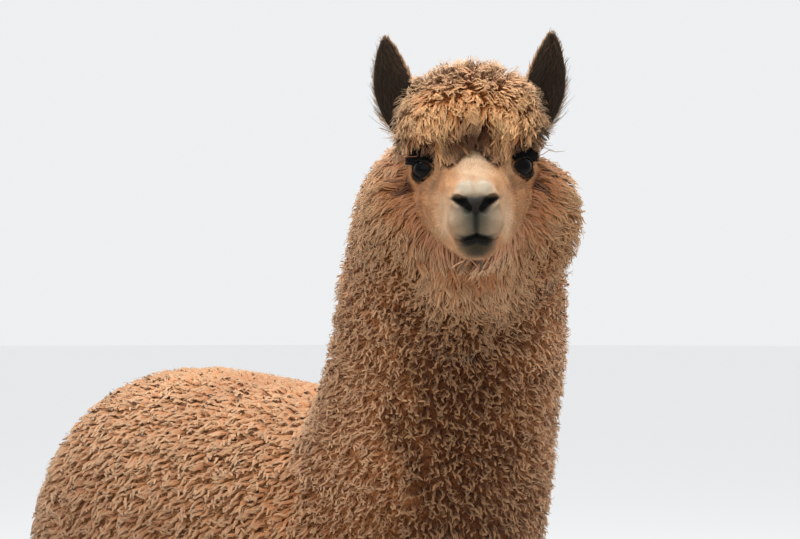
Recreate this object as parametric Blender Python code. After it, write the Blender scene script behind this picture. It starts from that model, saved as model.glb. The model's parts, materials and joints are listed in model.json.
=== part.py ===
"""A huacaya alpaca in full fleece, standing, life size. Units are metres.

The animal stands along Y with its chest towards -Y and its back towards +Z.
The head is turned to the animal's own right, which is -X.
The whole body is lofted and fused as one skin, and then parted by thin cuts.
"""

import math

import bmesh
import bpy
from mathutils import Matrix, Vector

# Heights above the floor, over the fleece.
EYE_HEIGHT = 1.2325
BACK_HEIGHT = 0.960
BELLY_HEIGHT = 0.430

# Lengths along the body, with 0 at the middle of the trunk.
CHEST_Y = -0.430
RUMP_Y = 0.515
TRUNK_HALF_WIDTH = 0.268
TRUNK_FULLNESS = 2.12

# The way the head looks, measured from straight ahead of the trunk.
HEAD_TURN = math.radians(-35.8)
HEAD_ROLL = math.radians(1.5)
EYE_MIDDLE = Vector((-0.057, -0.522, EYE_HEIGHT))

# Places in the head's own frame, where the eyes are level at 0 and -Y is forward.
EYE_RADIUS = 0.0195
EYE_SPOT = Vector((0.0550, 0.000, -0.003))
EAR_ROOT = Vector((0.076, 0.030, 0.045))
EAR_TIP = Vector((0.1060, 0.018, 0.1660))
EAR_HALF_WIDTH = 0.027
EAR_CUP = 0.017
EAR_THICKNESS = 0.006
EAR_TURN_OUT = math.radians(18)
EAR_BOW = 0.006

# Places where the feet stand.
STANCE_HALF_WIDTH = 0.105
FRONT_FOOT_Y = -0.240
HIND_FOOT_Y = 0.385
ANKLE_HEIGHT = 0.090
TOE_LENGTH = 0.062
TOE_HALF_WIDTH = 0.0185
TOE_SPLAY = math.radians(5)
NAIL_LENGTH = 0.015

# Where the thin cuts pass.
NAPE = Vector((-0.010, -0.420, 1.160))
NAPE_TILT = math.radians(36)
WITHERS = Vector((0.0, -0.335, 0.870))
WITHERS_TILT = math.radians(26)
ELBOW_HEIGHT = 0.428
STIFLE_HEIGHT = 0.442
CUT_GAP = 0.0003
POCKET_GAP = 0.0008
VOXEL = 0.005
BODY_TRIANGLES = 4350
FOOT_RATIO = 0.014
RING_POINTS = 32


def clear_scene():
    for thing in list(bpy.data.objects):
        bpy.data.objects.remove(thing)


def finish(name, colour, roughness):
    material = bpy.data.materials.new(name)
    material.use_nodes = True
    shader = material.node_tree.nodes["Principled BSDF"]
    shader.inputs["Base Color"].default_value = (*colour, 1.0)
    shader.inputs["Roughness"].default_value = roughness
    shader.inputs["Metallic"].default_value = 0.0
    return material


def add_object(name, mesh, material):
    mesh.materials.clear()
    mesh.materials.append(material)
    made = bpy.data.objects.new(name, mesh)
    bpy.context.scene.collection.objects.link(made)
    return made


def mesh_from(bm, name):
    bmesh.ops.recalc_face_normals(bm, faces=bm.faces)
    mesh = bpy.data.meshes.new(name)
    bm.to_mesh(mesh)
    bm.free()
    return mesh


def eased(stations, steps):
    """Extra stations between the given ones, on a smooth curve through them all."""
    padded = [stations[0], *stations, stations[-1]]
    found = []
    for before, start, end, after in zip(padded, padded[1:], padded[2:], padded[3:]):
        for step in range(steps):
            t = step / steps
            weights = (
                0.5 * (-t + 2 * t**2 - t**3),
                0.5 * (2 - 5 * t**2 + 3 * t**3),
                0.5 * (t + 4 * t**2 - 3 * t**3),
                0.5 * (-(t**2) + t**3),
            )
            four = zip(before, start, end, after)
            found.append(tuple(sum(w * v for w, v in zip(weights, values)) for values in four))
    return [*found, tuple(stations[-1])]


def ring(bm, centre, along, side, half_width, rise, drop, fullness=2.3):
    """One closed cross-section. rise and drop are its reach towards side x along and away from it."""
    along = along.normalized()
    up = side.cross(along).normalized()
    side = along.cross(up)
    made = bmesh.ops.create_circle(bm, segments=RING_POINTS, radius=1.0)
    for vert in made["verts"]:
        x, y = (math.copysign(abs(value) ** (2 / fullness), value) for value in vert.co.xy)
        vert.co = centre + side * (x * half_width) + up * (y * (rise if y > 0 else drop))
    return list({edge for vert in made["verts"] for edge in vert.link_edges})


def skin_over(bm, rings):
    """Walls between neighbouring rings, and a cap at each end."""
    for first, second in zip(rings, rings[1:]):
        bmesh.ops.bridge_loops(bm, edges=first + second)
    for end in (rings[0], rings[-1]):
        bmesh.ops.contextual_create(bm, geom=end)


def tube(bm, stations, side):
    """A limb or neck. Each station is (x, y, z, half width, reach to the front, reach to the back)."""
    centres = [Vector(station[:3]) for station in stations]
    rings = []
    for i, (centre, station) in enumerate(zip(centres, stations)):
        along = centres[min(i + 1, len(centres) - 1)] - centres[max(i - 1, 0)]
        across = side(i / (len(stations) - 1)) if callable(side) else side
        rings.append(ring(bm, centre, along, across, *station[3:6]))
    skin_over(bm, rings)


def ball(bm, place, centre, radii):
    made = bmesh.ops.create_uvsphere(bm, u_segments=24, v_segments=16, radius=1.0)
    matrix = place @ Matrix.Translation(centre) @ Matrix.Diagonal((*radii, 1.0))
    bmesh.ops.transform(bm, matrix=matrix, verts=made["verts"])


def head_place():
    turn = Matrix.Rotation(HEAD_TURN, 4, "Z") @ Matrix.Rotation(-HEAD_ROLL, 4, "Y")
    return Matrix.Translation(EYE_MIDDLE) @ turn


def add_trunk(bm):
    """Stations are (y, top, bottom, half width), from the chest to the rump."""
    back, belly, width = BACK_HEIGHT, BELLY_HEIGHT, TRUNK_HALF_WIDTH
    stations = [
        (CHEST_Y, back - 0.230, belly + 0.170, 0.28 * width),
        (CHEST_Y + 0.025, back - 0.150, belly + 0.100, 0.54 * width),
        (CHEST_Y + 0.100, back - 0.065, belly + 0.030, 0.78 * width),
        (CHEST_Y + 0.220, back - 0.030, belly + 0.002, 0.90 * width),
        (0.000, back - 0.014, belly, 0.97 * width),
        (RUMP_Y - 0.290, back, belly + 0.015, 1.01 * width),
        (RUMP_Y - 0.140, back - 0.006, belly + 0.035, 0.99 * width),
        (RUMP_Y - 0.045, back - 0.065, belly + 0.075, 0.83 * width),
        (RUMP_Y, back - 0.170, belly + 0.150, 0.45 * width),
    ]
    widest = 0.36
    rings = []
    for y, top, bottom, half_width in eased(stations, 3):
        centre = Vector((0, y, bottom + widest * (top - bottom)))
        rise, drop = top - centre.z, centre.z - bottom
        along, side = Vector((0, 1, 0)), Vector((1, 0, 0))
        rings.append(ring(bm, centre, along, side, half_width, rise, drop, TRUNK_FULLNESS))
    skin_over(bm, rings)


def add_neck(bm):
    """The neck rises from inside the chest and turns with the head near its top."""
    stations = [
        (0.0, -0.180, 0.620, 0.190, 0.210, 0.190),
        (0.0, -0.270, 0.740, 0.184, 0.205, 0.180),
        (0.0, -0.335, 0.860, 0.168, 0.188, 0.150),
        (0.0, -0.375, 0.980, 0.155, 0.160, 0.132),
        (-0.004, -0.405, 1.090, 0.153, 0.144, 0.128),
        (-0.010, -0.425, 1.180, 0.146, 0.122, 0.114),
        (-0.018, -0.440, 1.250, 0.114, 0.080, 0.092),
        (-0.022, -0.448, 1.300, 0.050, 0.040, 0.050),
    ]

    def side(share):
        turn = HEAD_TURN * max(0.0, 1.6 * (share - 0.375))
        return Vector((math.cos(turn), math.sin(turn), 0))

    tube(bm, eased(stations, 3), side)


def add_head(bm):
    """The face is lofted from the nose back, in the head's own frame with the eyes level at 0."""
    place = head_place()
    turned = place.to_3x3()
    # (y, top, bottom, half width)
    stations = [
        (-0.139, -0.045, -0.082, 0.018),
        (-0.133, -0.036, -0.098, 0.028),
        (-0.120, -0.028, -0.113, 0.034),
        (-0.095, -0.012, -0.121, 0.038),
        (-0.065, 0.008, -0.122, 0.044),
        (-0.035, 0.030, -0.118, 0.059),
        (0.000, 0.050, -0.110, 0.068),
        (0.050, 0.060, -0.100, 0.070),
        (0.100, 0.040, -0.080, 0.055),
    ]
    rings = []
    for y, top, bottom, half_width in eased(stations, 3):
        middle = bottom + 0.5 * (top - bottom)
        centre = place @ Vector((0, y, middle))
        along, side = turned @ Vector((0, 1, 0)), turned @ Vector((1, 0, 0))
        rings.append(ring(bm, centre, along, side, half_width, top - middle, middle - bottom))
    skin_over(bm, rings)
    # Topknot: a high dome and a fringe that rolls over the brow.
    ball(bm, place, (0, 0.016, 0.070), (0.091, 0.080, 0.064))
    ball(bm, place, (0, -0.022, 0.050), (0.084, 0.046, 0.034))
    ball(bm, place, (0, 0.075, 0.020), (0.088, 0.070, 0.085))
    for cheek in (-1, 1):
        ball(bm, place, (cheek * 0.082, 0.050, -0.070), (0.068, 0.060, 0.095))
        ball(bm, place, (cheek * 0.062, 0.016, 0.044), (0.038, 0.046, 0.036))


def add_legs(bm):
    """Each leg is a woolly sleeve, from a cuff at the ankle up to inside the trunk."""
    out, fore, hind = STANCE_HALF_WIDTH, FRONT_FOOT_Y, HIND_FOOT_Y
    for side in (-1, 1):
        front_leg = [
            (side * out, fore + 0.006, ANKLE_HEIGHT - 0.030, 0.036, 0.038, 0.038),
            (side * out, fore + 0.008, ANKLE_HEIGHT + 0.010, 0.048, 0.050, 0.050),
            (side * out, fore + 0.010, 0.160, 0.054, 0.058, 0.056),
            (side * (out + 0.001), fore + 0.012, 0.260, 0.055, 0.061, 0.058),
            (side * (out + 0.003), fore + 0.013, 0.340, 0.061, 0.069, 0.064),
            (side * (out + 0.007), fore + 0.018, 0.430, 0.074, 0.088, 0.088),
            (side * (out + 0.017), fore + 0.024, 0.560, 0.096, 0.120, 0.120),
            (side * (out + 0.020), fore + 0.024, 0.680, 0.084, 0.110, 0.110),
        ]
        hind_leg = [
            (side * out, hind + 0.008, ANKLE_HEIGHT - 0.030, 0.036, 0.038, 0.038),
            (side * out, hind + 0.012, ANKLE_HEIGHT + 0.010, 0.048, 0.050, 0.050),
            (side * out, hind + 0.020, 0.160, 0.054, 0.057, 0.056),
            (side * (out + 0.001), hind + 0.036, 0.270, 0.057, 0.062, 0.060),
            (side * (out + 0.005), hind + 0.034, 0.350, 0.066, 0.080, 0.067),
            (side * (out + 0.013), hind + 0.005, 0.440, 0.086, 0.116, 0.098),
            (side * (out + 0.025), hind - 0.035, 0.560, 0.110, 0.155, 0.140),
            (side * (out + 0.027), hind - 0.060, 0.680, 0.100, 0.145, 0.135),
        ]
        for stations in (front_leg, hind_leg):
            tube(bm, eased(stations, 3), Vector((1, 0, 0)))


def add_tail(bm):
    """The tail hangs close against the rump."""
    stations = [
        (0.0, RUMP_Y + 0.012, 0.640, 0.018, 0.016, 0.016),
        (0.0, RUMP_Y + 0.020, 0.665, 0.040, 0.030, 0.028),
        (0.0, RUMP_Y + 0.024, 0.740, 0.053, 0.040, 0.036),
        (0.0, RUMP_Y + 0.010, 0.820, 0.050, 0.045, 0.036),
        (0.0, RUMP_Y - 0.025, 0.872, 0.050, 0.050, 0.036),
        (0.0, RUMP_Y - 0.080, 0.890, 0.045, 0.045, 0.036),
    ]
    tube(bm, eased(stations, 3), Vector((1, 0, 0)))


def evaluated_mesh(thing):
    graph = bpy.context.evaluated_depsgraph_get()
    return bpy.data.meshes.new_from_object(thing.evaluated_get(graph))


def fused_body(material):
    """All the lofts fused to one skin, smoothed, and thinned to the triangles it needs."""
    bm = bmesh.new()
    for add in (add_trunk, add_neck, add_head, add_legs, add_tail):
        add(bm)
    lofts = add_object("lofts", mesh_from(bm, "lofts"), material)
    fuse = lofts.modifiers.new("fuse", "REMESH")
    fuse.mode, fuse.voxel_size = "VOXEL", VOXEL
    relax = lofts.modifiers.new("relax", "SMOOTH")
    relax.factor, relax.iterations = 0.5, 12
    fused = add_object("fused", evaluated_mesh(lofts), material)
    fused.data.calc_loop_triangles()
    thin = fused.modifiers.new("thin", "DECIMATE")
    thin.ratio = BODY_TRIANGLES / len(fused.data.loop_triangles)
    body = evaluated_mesh(fused)
    for helper in (lofts, fused):
        bpy.data.objects.remove(helper)
    return body


def block(name, place, low, high):
    """A box that cuts and isn't part of the animal."""
    bm = bmesh.new()
    made = bmesh.ops.create_cube(bm, size=1.0)
    size = [h - l for l, h in zip(low, high)]
    middle = Vector([(h + l) / 2 for l, h in zip(low, high)])
    matrix = place @ Matrix.Translation(middle) @ Matrix.Diagonal((*size, 1.0))
    bmesh.ops.transform(bm, matrix=matrix, verts=made["verts"])
    mesh = bpy.data.meshes.new(name)
    bm.to_mesh(mesh)
    bm.free()
    cutter = bpy.data.objects.new(name, mesh)
    bpy.context.scene.collection.objects.link(cutter)
    cutter.hide_render = True
    cutter.display_type = "WIRE"
    return cutter


def carve(thing, operation, cutter):
    boolean = thing.modifiers.new(f"{operation.lower()} {cutter.name}", "BOOLEAN")
    boolean.operation, boolean.object = operation, cutter


def part_blocks():
    """For each part but the trunk: its place and the two corners of the block that holds it."""
    far = 0.5
    turn = Matrix.Rotation(HEAD_TURN, 4, "Z")
    nape = Matrix.Translation(NAPE) @ turn @ Matrix.Rotation(NAPE_TILT, 4, "X")
    withers = Matrix.Translation(WITHERS) @ Matrix.Rotation(WITHERS_TILT, 4, "X")
    blocks = {
        "head": (nape, (-far, -far, 0), (far, far, far)),
        "neck": (withers, (-far, -far, 0), (far, far, 2 * far)),
        "tail": (Matrix.Identity(4), (-0.066, RUMP_Y + 0.002, 0.60), (0.066, 0.70, 0.93)),
    }
    inner, outer = 0.022, 0.300
    for side, sign in (("right", -1), ("left", 1)):
        xs = sorted((sign * inner, sign * outer))
        front = (FRONT_FOOT_Y - 0.115, FRONT_FOOT_Y + 0.135)
        hind = (HIND_FOOT_Y - 0.150, HIND_FOOT_Y + 0.170)
        for name, ys, top in (("front", front, ELBOW_HEIGHT), ("hind", hind, STIFLE_HEIGHT)):
            corners = (xs[0], ys[0], ANKLE_HEIGHT), (xs[1], ys[1], top)
            blocks[f"leg_{name}_{side}"] = (Matrix.Identity(4), *corners)
    return blocks


def grown(corners):
    low, high = corners
    return [v - CUT_GAP for v in low], [v + CUT_GAP for v in high]


def part_the_body(body, fleece):
    """The fused body parted into named pieces, each in its own block and clear of the earlier ones."""
    pieces, taken = {}, []
    ankles = block("below_ankles", Matrix.Identity(4), (-1, -1, -1), (1, 1, ANKLE_HEIGHT))
    for name, (place, low, high) in part_blocks().items():
        piece = add_object(name, body.copy(), fleece)
        carve(piece, "INTERSECT", block(f"{name}_block", place, low, high))
        for earlier in taken:
            if name == "neck":
                carve(piece, "DIFFERENCE", earlier)
        taken.append(block(f"{name}_room", place, *grown((low, high))))
        pieces[name] = piece
    trunk = add_object("trunk", body.copy(), fleece)
    for room in (*taken, ankles):
        carve(trunk, "DIFFERENCE", room)
    pieces["trunk"] = trunk
    return pieces


def grow(thing, name, amount):
    """A copy that stands proud of the thing all round, to cut its pocket."""
    copy = bpy.data.objects.new(name, evaluated_mesh(thing))
    bpy.context.scene.collection.objects.link(copy)
    swell = copy.modifiers.new("swell", "DISPLACE")
    swell.strength, swell.mid_level = amount, 0.0
    copy.hide_render = True
    copy.display_type = "WIRE"
    return copy


def add_eye(name, sign, material):
    bm = bmesh.new()
    made = bmesh.ops.create_uvsphere(bm, u_segments=14, v_segments=9, radius=EYE_RADIUS)
    spot = Vector((sign * EYE_SPOT.x, EYE_SPOT.y, EYE_SPOT.z))
    place = head_place() @ Matrix.Translation(spot)
    bmesh.ops.transform(bm, matrix=place, verts=made["verts"])
    return add_object(name, mesh_from(bm, name), material)


def add_ear(name, sign, material):
    """A cupped leaf: rows run from root to tip, columns from edge to edge."""
    bm = bmesh.new()
    bmesh.ops.create_grid(bm, x_segments=5, y_segments=8, size=1.0)
    root = Vector((sign * EAR_ROOT.x, EAR_ROOT.y, EAR_ROOT.z))
    tip = Vector((sign * EAR_TIP.x, EAR_TIP.y, EAR_TIP.z))
    rise = tip - root
    across = Vector((1, 0, 0)) - rise * (rise.x / rise.length_squared)
    turn_out = Matrix.Rotation(sign * EAR_TURN_OUT, 3, rise)
    across = turn_out @ across.normalized()
    behind = rise.cross(across).normalized() * -1
    if behind.y < 0:
        behind.negate()
    for vert in bm.verts:
        s, t = vert.co.x, (vert.co.y + 1) / 2
        width = EAR_HALF_WIDTH * math.sin(math.pi * (0.20 + 0.78 * t)) ** 0.75
        cup = EAR_CUP * (1 - s * s) * (1 - 0.75 * t)
        outward = sign * EAR_BOW * math.sin(math.pi * t)
        vert.co = root + rise * t + across * (s * width + outward) + behind * cup
    bmesh.ops.transform(bm, matrix=head_place(), verts=bm.verts)
    ear = add_object(name, mesh_from(bm, name), material)
    wall = ear.modifiers.new("wall", "SOLIDIFY")
    wall.thickness, wall.offset = EAR_THICKNESS, 0.0
    return ear


def add_foot(name, x, y, materials):
    """A foot of two toes, and a nail ahead of each."""
    horn, pad = materials
    bm = bmesh.new()
    pastern = [
        (x, y + 0.004, 0.014, 0.024, 0.026, 0.024),
        (x, y + 0.004, 0.045, 0.027, 0.030, 0.026),
        (x, y + 0.008, ANKLE_HEIGHT + 0.02, 0.029, 0.031, 0.029),
    ]
    tube(bm, eased(pastern, 3), Vector((1, 0, 0)))
    toes = []
    for sign in (-1, 1):
        toe = Matrix.Translation((x + sign * TOE_HALF_WIDTH * 1.06, y, 0))
        toe = toe @ Matrix.Rotation(sign * TOE_SPLAY, 4, "Z")
        toes.append(toe)
        along, side = toe.to_3x3() @ Vector((0, 1, 0)), toe.to_3x3() @ Vector((1, 0, 0))
        # (y, height, half width), from the toe's front back to the heel
        stations = [
            (-TOE_LENGTH, 0.016, 0.0100),
            (-0.88 * TOE_LENGTH, 0.024, 0.0155),
            (-0.45 * TOE_LENGTH, 0.035, TOE_HALF_WIDTH),
            (0.0, 0.046, TOE_HALF_WIDTH),
            (0.024, 0.032, 0.0160),
            (0.032, 0.018, 0.0090),
        ]
        rings = []
        for at, height, half_width in eased(stations, 3):
            centre = toe @ Vector((0, at, height * 0.4))
            rings.append(ring(bm, centre, along, side, half_width, height * 0.6, height * 0.55))
        skin_over(bm, rings)
    foot = add_object(name, mesh_from(bm, name), pad)
    fuse = foot.modifiers.new("fuse", "REMESH")
    fuse.mode, fuse.voxel_size = "VOXEL", 0.0025
    relax = foot.modifiers.new("relax", "SMOOTH")
    relax.factor, relax.iterations = 0.5, 4
    thin = foot.modifiers.new("thin", "DECIMATE")
    thin.ratio = FOOT_RATIO
    carve(foot, "DIFFERENCE", bpy.data.objects["under_floor"])
    carve(foot, "DIFFERENCE", bpy.data.objects["above_ankles"])
    for sign, toe in zip((-1, 1), toes):
        add_nail(f"nail_{name[5:]}_{'outer' if sign * x > 0 else 'inner'}", toe, foot, horn)
    return foot


def add_nail(name, toe, foot, horn):
    """A short claw that grows forward and down from the front of its toe."""
    bm = bmesh.new()
    along, side = toe.to_3x3() @ Vector((0, 1, 0)), toe.to_3x3() @ Vector((1, 0, 0))
    front = -TOE_LENGTH - NAIL_LENGTH
    stations = [
        (front, 0.0060, 0.0022, 0.0026),
        (front + 0.40 * NAIL_LENGTH, 0.0105, 0.0058, 0.0056),
        (front + 1.00 * NAIL_LENGTH, 0.0150, 0.0085, 0.0080),
        (front + 1.90 * NAIL_LENGTH, 0.0190, 0.0085, 0.0080),
    ]
    rings = []
    for at, height, half_width, half_depth in stations:
        centre = toe @ Vector((0, at, height))
        rings.append(nail_ring(bm, centre, along, side, half_width, half_depth))
    skin_over(bm, rings)
    nail = add_object(name, mesh_from(bm, name), horn)
    carve(foot, "DIFFERENCE", grow(nail, f"{name}_room", POCKET_GAP))
    return nail


def nail_ring(bm, centre, along, side, half_width, half_depth):
    up = side.cross(along)
    made = bmesh.ops.create_circle(bm, segments=8, radius=1.0)
    for vert in made["verts"]:
        vert.co = centre + side * (vert.co.x * half_width) + up * (vert.co.y * half_depth)
    return list({edge for vert in made["verts"] for edge in vert.link_edges})


def stand_on_origin():
    """Moves everything so that the origin is under the middle of the animal, at floor level."""
    bpy.context.view_layer.update()
    graph = bpy.context.evaluated_depsgraph_get()
    shown = [thing for thing in bpy.data.objects if not thing.hide_render]
    corners = [
        Vector(corner) for thing in shown for corner in thing.evaluated_get(graph).bound_box
    ]
    middle = [(min(c[k] for c in corners) + max(c[k] for c in corners)) / 2 for k in (0, 1)]
    shift = Matrix.Translation((-middle[0], -middle[1], 0))
    for thing in bpy.data.objects:
        thing.data.transform(shift)


def main():
    clear_scene()
    fleece = finish("fleece", (0.45, 0.25, 0.13), 0.95)
    ear_hair = finish("ear_hair", (0.16, 0.09, 0.05), 0.90)
    eye_gloss = finish("eye", (0.010, 0.008, 0.008), 0.08)
    horn = finish("horn", (0.10, 0.075, 0.06), 0.45)
    pad = finish("foot_skin", (0.30, 0.17, 0.10), 0.80)
    pieces = part_the_body(fused_body(fleece), fleece)
    for side, sign in (("right", -1), ("left", 1)):
        eye = add_eye(f"eye_{side}", sign, eye_gloss)
        ear = add_ear(f"ear_{side}", sign, ear_hair)
        for inset, gap in ((eye, POCKET_GAP), (ear, 2 * POCKET_GAP)):
            carve(pieces["head"], "DIFFERENCE", grow(inset, f"{inset.name}_room", gap))
    whole = Matrix.Identity(4)
    block("under_floor", whole, (-1, -1, -1), (1, 1, 0))
    block("above_ankles", whole, (-1, -1, ANKLE_HEIGHT - CUT_GAP), (1, 1, 1))
    for row, y in (("front", FRONT_FOOT_Y), ("hind", HIND_FOOT_Y)):
        for side, sign in (("right", -1), ("left", 1)):
            add_foot(f"foot_{row}_{side}", sign * STANCE_HALF_WIDTH, y, (horn, pad))
    stand_on_origin()


main()
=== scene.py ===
# %% [markdown]
# # A huacaya alpaca in full fleece
#
# A grown alpaca stands still and looks at the viewer, as a museum would show it.
# Its body is one skin with the coat growing on it: crimped locks on the neck, broad matted staples on
# the trunk, long soft strands on the cheeks and the crown, and very short fur on the face.
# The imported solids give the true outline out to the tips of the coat, so every length below is
# measured inwards from them.

# %% Load the frame
import json
import math

import bmesh
import bpy
import numpy as np
from mathutils import Matrix, Vector
from mathutils.kdtree import KDTree

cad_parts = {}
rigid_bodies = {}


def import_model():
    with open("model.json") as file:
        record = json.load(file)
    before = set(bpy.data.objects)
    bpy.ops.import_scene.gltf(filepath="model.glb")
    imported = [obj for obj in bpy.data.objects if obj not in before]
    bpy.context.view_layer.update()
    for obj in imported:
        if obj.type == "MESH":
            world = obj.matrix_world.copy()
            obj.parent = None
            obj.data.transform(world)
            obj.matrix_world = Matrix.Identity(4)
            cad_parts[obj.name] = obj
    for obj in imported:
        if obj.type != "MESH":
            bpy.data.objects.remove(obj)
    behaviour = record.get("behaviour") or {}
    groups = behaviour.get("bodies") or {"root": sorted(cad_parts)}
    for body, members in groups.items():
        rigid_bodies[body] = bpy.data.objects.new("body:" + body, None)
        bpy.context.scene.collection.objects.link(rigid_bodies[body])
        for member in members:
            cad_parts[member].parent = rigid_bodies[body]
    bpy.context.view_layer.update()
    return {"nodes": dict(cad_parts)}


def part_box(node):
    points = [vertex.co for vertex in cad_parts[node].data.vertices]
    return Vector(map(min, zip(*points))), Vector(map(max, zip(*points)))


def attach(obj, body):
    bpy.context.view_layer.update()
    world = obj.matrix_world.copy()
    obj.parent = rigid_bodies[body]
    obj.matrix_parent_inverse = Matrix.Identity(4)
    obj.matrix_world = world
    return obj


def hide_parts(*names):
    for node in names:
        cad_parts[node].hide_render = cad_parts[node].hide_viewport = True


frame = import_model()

# %% [markdown]
# ## The head's own directions
#
# The head is turned away from the trunk, so everything on it is easier to place in a frame of its own:
# x towards the animal's left, y from the nose to the nape, z up, with 0 between the two eyes.
# The two eye solids say where that frame is, so nothing has to be typed in twice.

# %% The head's frame
def middle(node):
    low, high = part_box(node)
    return (low + high) / 2


def frame_of_head():
    left, right = middle("eye_left"), middle("eye_right")
    across = (left - right).normalized()
    back = Vector((0, 0, 1)).cross(across).normalized()
    turned = Matrix((across, back, across.cross(back))).transposed().to_4x4()
    turned.translation = (left + right) / 2 + 0.003 * turned.col[2].to_3d()
    return turned


HEAD = frame_of_head()
TO_HEAD = np.array(HEAD.inverted())
OUT_OF_HEAD = np.array(HEAD)


def into_head(points):
    """Places given in the head's frame. From here on such places are called q."""
    return points @ TO_HEAD[:3, :3].T + TO_HEAD[:3, 3]


def out_of_head(q):
    """The same places back in the world."""
    return q @ OUT_OF_HEAD[:3, :3].T + OUT_OF_HEAD[:3, 3]


def head_way(vectors):
    """Directions given in the head's frame, in the world's."""
    return np.asarray(vectors) @ OUT_OF_HEAD[:3, :3].T


print("between the eyes:", [round(v, 3) for v in HEAD.translation])

# %% [markdown]
# ## Camera, floor and light
#
# The viewer stands a little over two metres away, with a short telephoto lens at about the height of the
# animal's chest, so the head and neck fill the view and the back runs off behind. A wide area lamp
# above and a pale sky all round give the soft light of an overcast day.

# %% Camera
LENS_MM = 81.0
SENSOR_MM = 36.0
CAMERA_DISTANCE = 2.25
CAMERA_HEIGHT = 1.065
CAMERA_ASIDE = 0.0906
CAMERA_TILT = math.radians(0.97)
# The face looks a little past the viewer.
CAMERA_TURN = math.radians(1.3)


def linked(name, data):
    """A new object in the scene for a mesh, a lamp or a camera."""
    thing = bpy.data.objects.new(name, data)
    bpy.context.scene.collection.objects.link(thing)
    return thing


def place_camera():
    camera = linked("camera", bpy.data.cameras.new("camera"))
    camera.data.lens, camera.data.sensor_width = LENS_MM, SENSOR_MM
    face_way = math.atan2(HEAD[1][0], HEAD[0][0]) + CAMERA_TURN
    back = Vector((math.sin(face_way), -math.cos(face_way), 0))
    right = Vector((math.cos(face_way), math.sin(face_way), 0))
    place = HEAD.translation + back * CAMERA_DISTANCE - right * CAMERA_ASIDE
    camera.location = (place.x, place.y, CAMERA_HEIGHT)
    camera.rotation_euler = (math.pi / 2 + CAMERA_TILT, 0, face_way)
    bpy.context.scene.camera = camera
    return camera, face_way


camera, FACE_WAY = place_camera()
print("camera at", [round(v, 3) for v in camera.location])

# %% Floor
FLOOR_RADIUS = 40.0


def mesh_of(bm, name):
    """A finished bmesh as a new mesh."""
    mesh = bpy.data.meshes.new(name)
    bm.to_mesh(mesh)
    bm.free()
    return mesh


def new_material(name, roughness, **sockets):
    """A material, its node tree and its shader. Sockets are named with _ in place of spaces."""
    material = bpy.data.materials.new(name)
    material.use_nodes = True
    shader = material.node_tree.nodes["Principled BSDF"]
    shader.inputs["Roughness"].default_value = roughness
    for socket, value in sockets.items():
        shader.inputs[socket.replace("_", " ")].default_value = value
    return material, material.node_tree, shader


def lay_floor():
    bm = bmesh.new()
    bmesh.ops.create_circle(bm, cap_ends=True, segments=96, radius=FLOOR_RADIUS)
    floor = linked("floor", mesh_of(bm, "floor"))
    paint = new_material("floor_paint", 0.9, Base_Color=(0.93, 0.93, 0.93, 1))[0]
    floor.data.materials.append(paint)
    floor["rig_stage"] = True


lay_floor()
print("floor laid,", 2 * FLOOR_RADIUS, "metres across")

# %% Light
SKY_COLOUR = (0.97, 0.985, 1.0, 1)
SKY_STRENGTH = 0.88


def add_lamp(name, size, power, place, target):
    lamp = bpy.data.lights.new(name, "AREA")
    lamp.shape, lamp.size, lamp.energy = "DISK", size, power
    thing = linked(name, lamp)
    thing.location = place
    thing.rotation_mode = "QUATERNION"
    thing.rotation_quaternion = (Vector(target) - Vector(place)).to_track_quat("-Z", "Y")


def light_the_room():
    world = bpy.data.worlds.new("overcast")
    bpy.context.scene.world = world
    world.use_nodes = True
    background = world.node_tree.nodes["Background"]
    background.inputs["Color"].default_value = SKY_COLOUR
    background.inputs["Strength"].default_value = SKY_STRENGTH
    front = Vector((math.sin(FACE_WAY), -math.cos(FACE_WAY), 0))
    left = Vector((-math.cos(FACE_WAY), -math.sin(FACE_WAY), 0))
    add_lamp("sky", 3.0, 158, left * -0.05 + Vector((0, 0, 3.0)), (0, -0.1, 0.9))
    add_lamp("window", 1.6, 7, HEAD.translation + front * 1.6 + left * 0.6 + Vector((0, 0, 0.7)),
             HEAD.translation)


light_the_room()
bpy.context.scene.view_settings.view_transform = "Standard"
print("lamps:", [lamp.name for lamp in bpy.data.lights])

# %% [markdown]
# ## Mesh helpers
#
# A mesh's points, normals and triangles are easiest to work on as arrays: one line of arithmetic then
# moves every point. These helpers fetch the arrays, even out a surface by moving each point towards its
# neighbours, and turn a range of values into a soft step.

# %% Arrays of a mesh
def array_from(items, name, width, kind):
    """One row of values for each item of a mesh's list."""
    found = np.empty(len(items) * width, kind)
    items.foreach_get(name, found)
    return found.reshape(-1, width)


def points_of(mesh):
    return array_from(mesh.vertices, "co", 3, np.float32).astype(float)


def normals_of(mesh):
    return array_from(mesh.vertex_normals, "vector", 3, np.float32).astype(float)


def edges_of(mesh):
    return array_from(mesh.edges, "vertices", 2, np.int32)


def triangles_of(mesh):
    mesh.calc_loop_triangles()
    return array_from(mesh.loop_triangles, "vertices", 3, np.int32)


def put_points(mesh, points):
    mesh.vertices.foreach_set("co", points.astype(np.float32).ravel())
    mesh.update()


def soft_step(values, low, high):
    """0 up to low, 1 from high on, and an even rise between them."""
    t = np.clip((values - low) / (high - low), 0, 1)
    return t * t * (3 - 2 * t)


def unit(vectors):
    return vectors / np.maximum(np.linalg.norm(vectors, axis=-1, keepdims=True), 1e-9)


def relaxed(points, edges, share, rounds):
    """Each point moved a share of the way to the middle of its neighbours, several times."""
    share = np.broadcast_to(share, len(points))[:, None]
    count = np.maximum(np.bincount(edges.ravel(), minlength=len(points)), 1)[:, None]
    for _ in range(rounds):
        total = np.stack([
            np.bincount(edges[:, 0], points[edges[:, 1], k], len(points))
            + np.bincount(edges[:, 1], points[edges[:, 0], k], len(points))
            for k in range(3)
        ], axis=1)
        points = points + (total / count - points) * share
    return points


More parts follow.
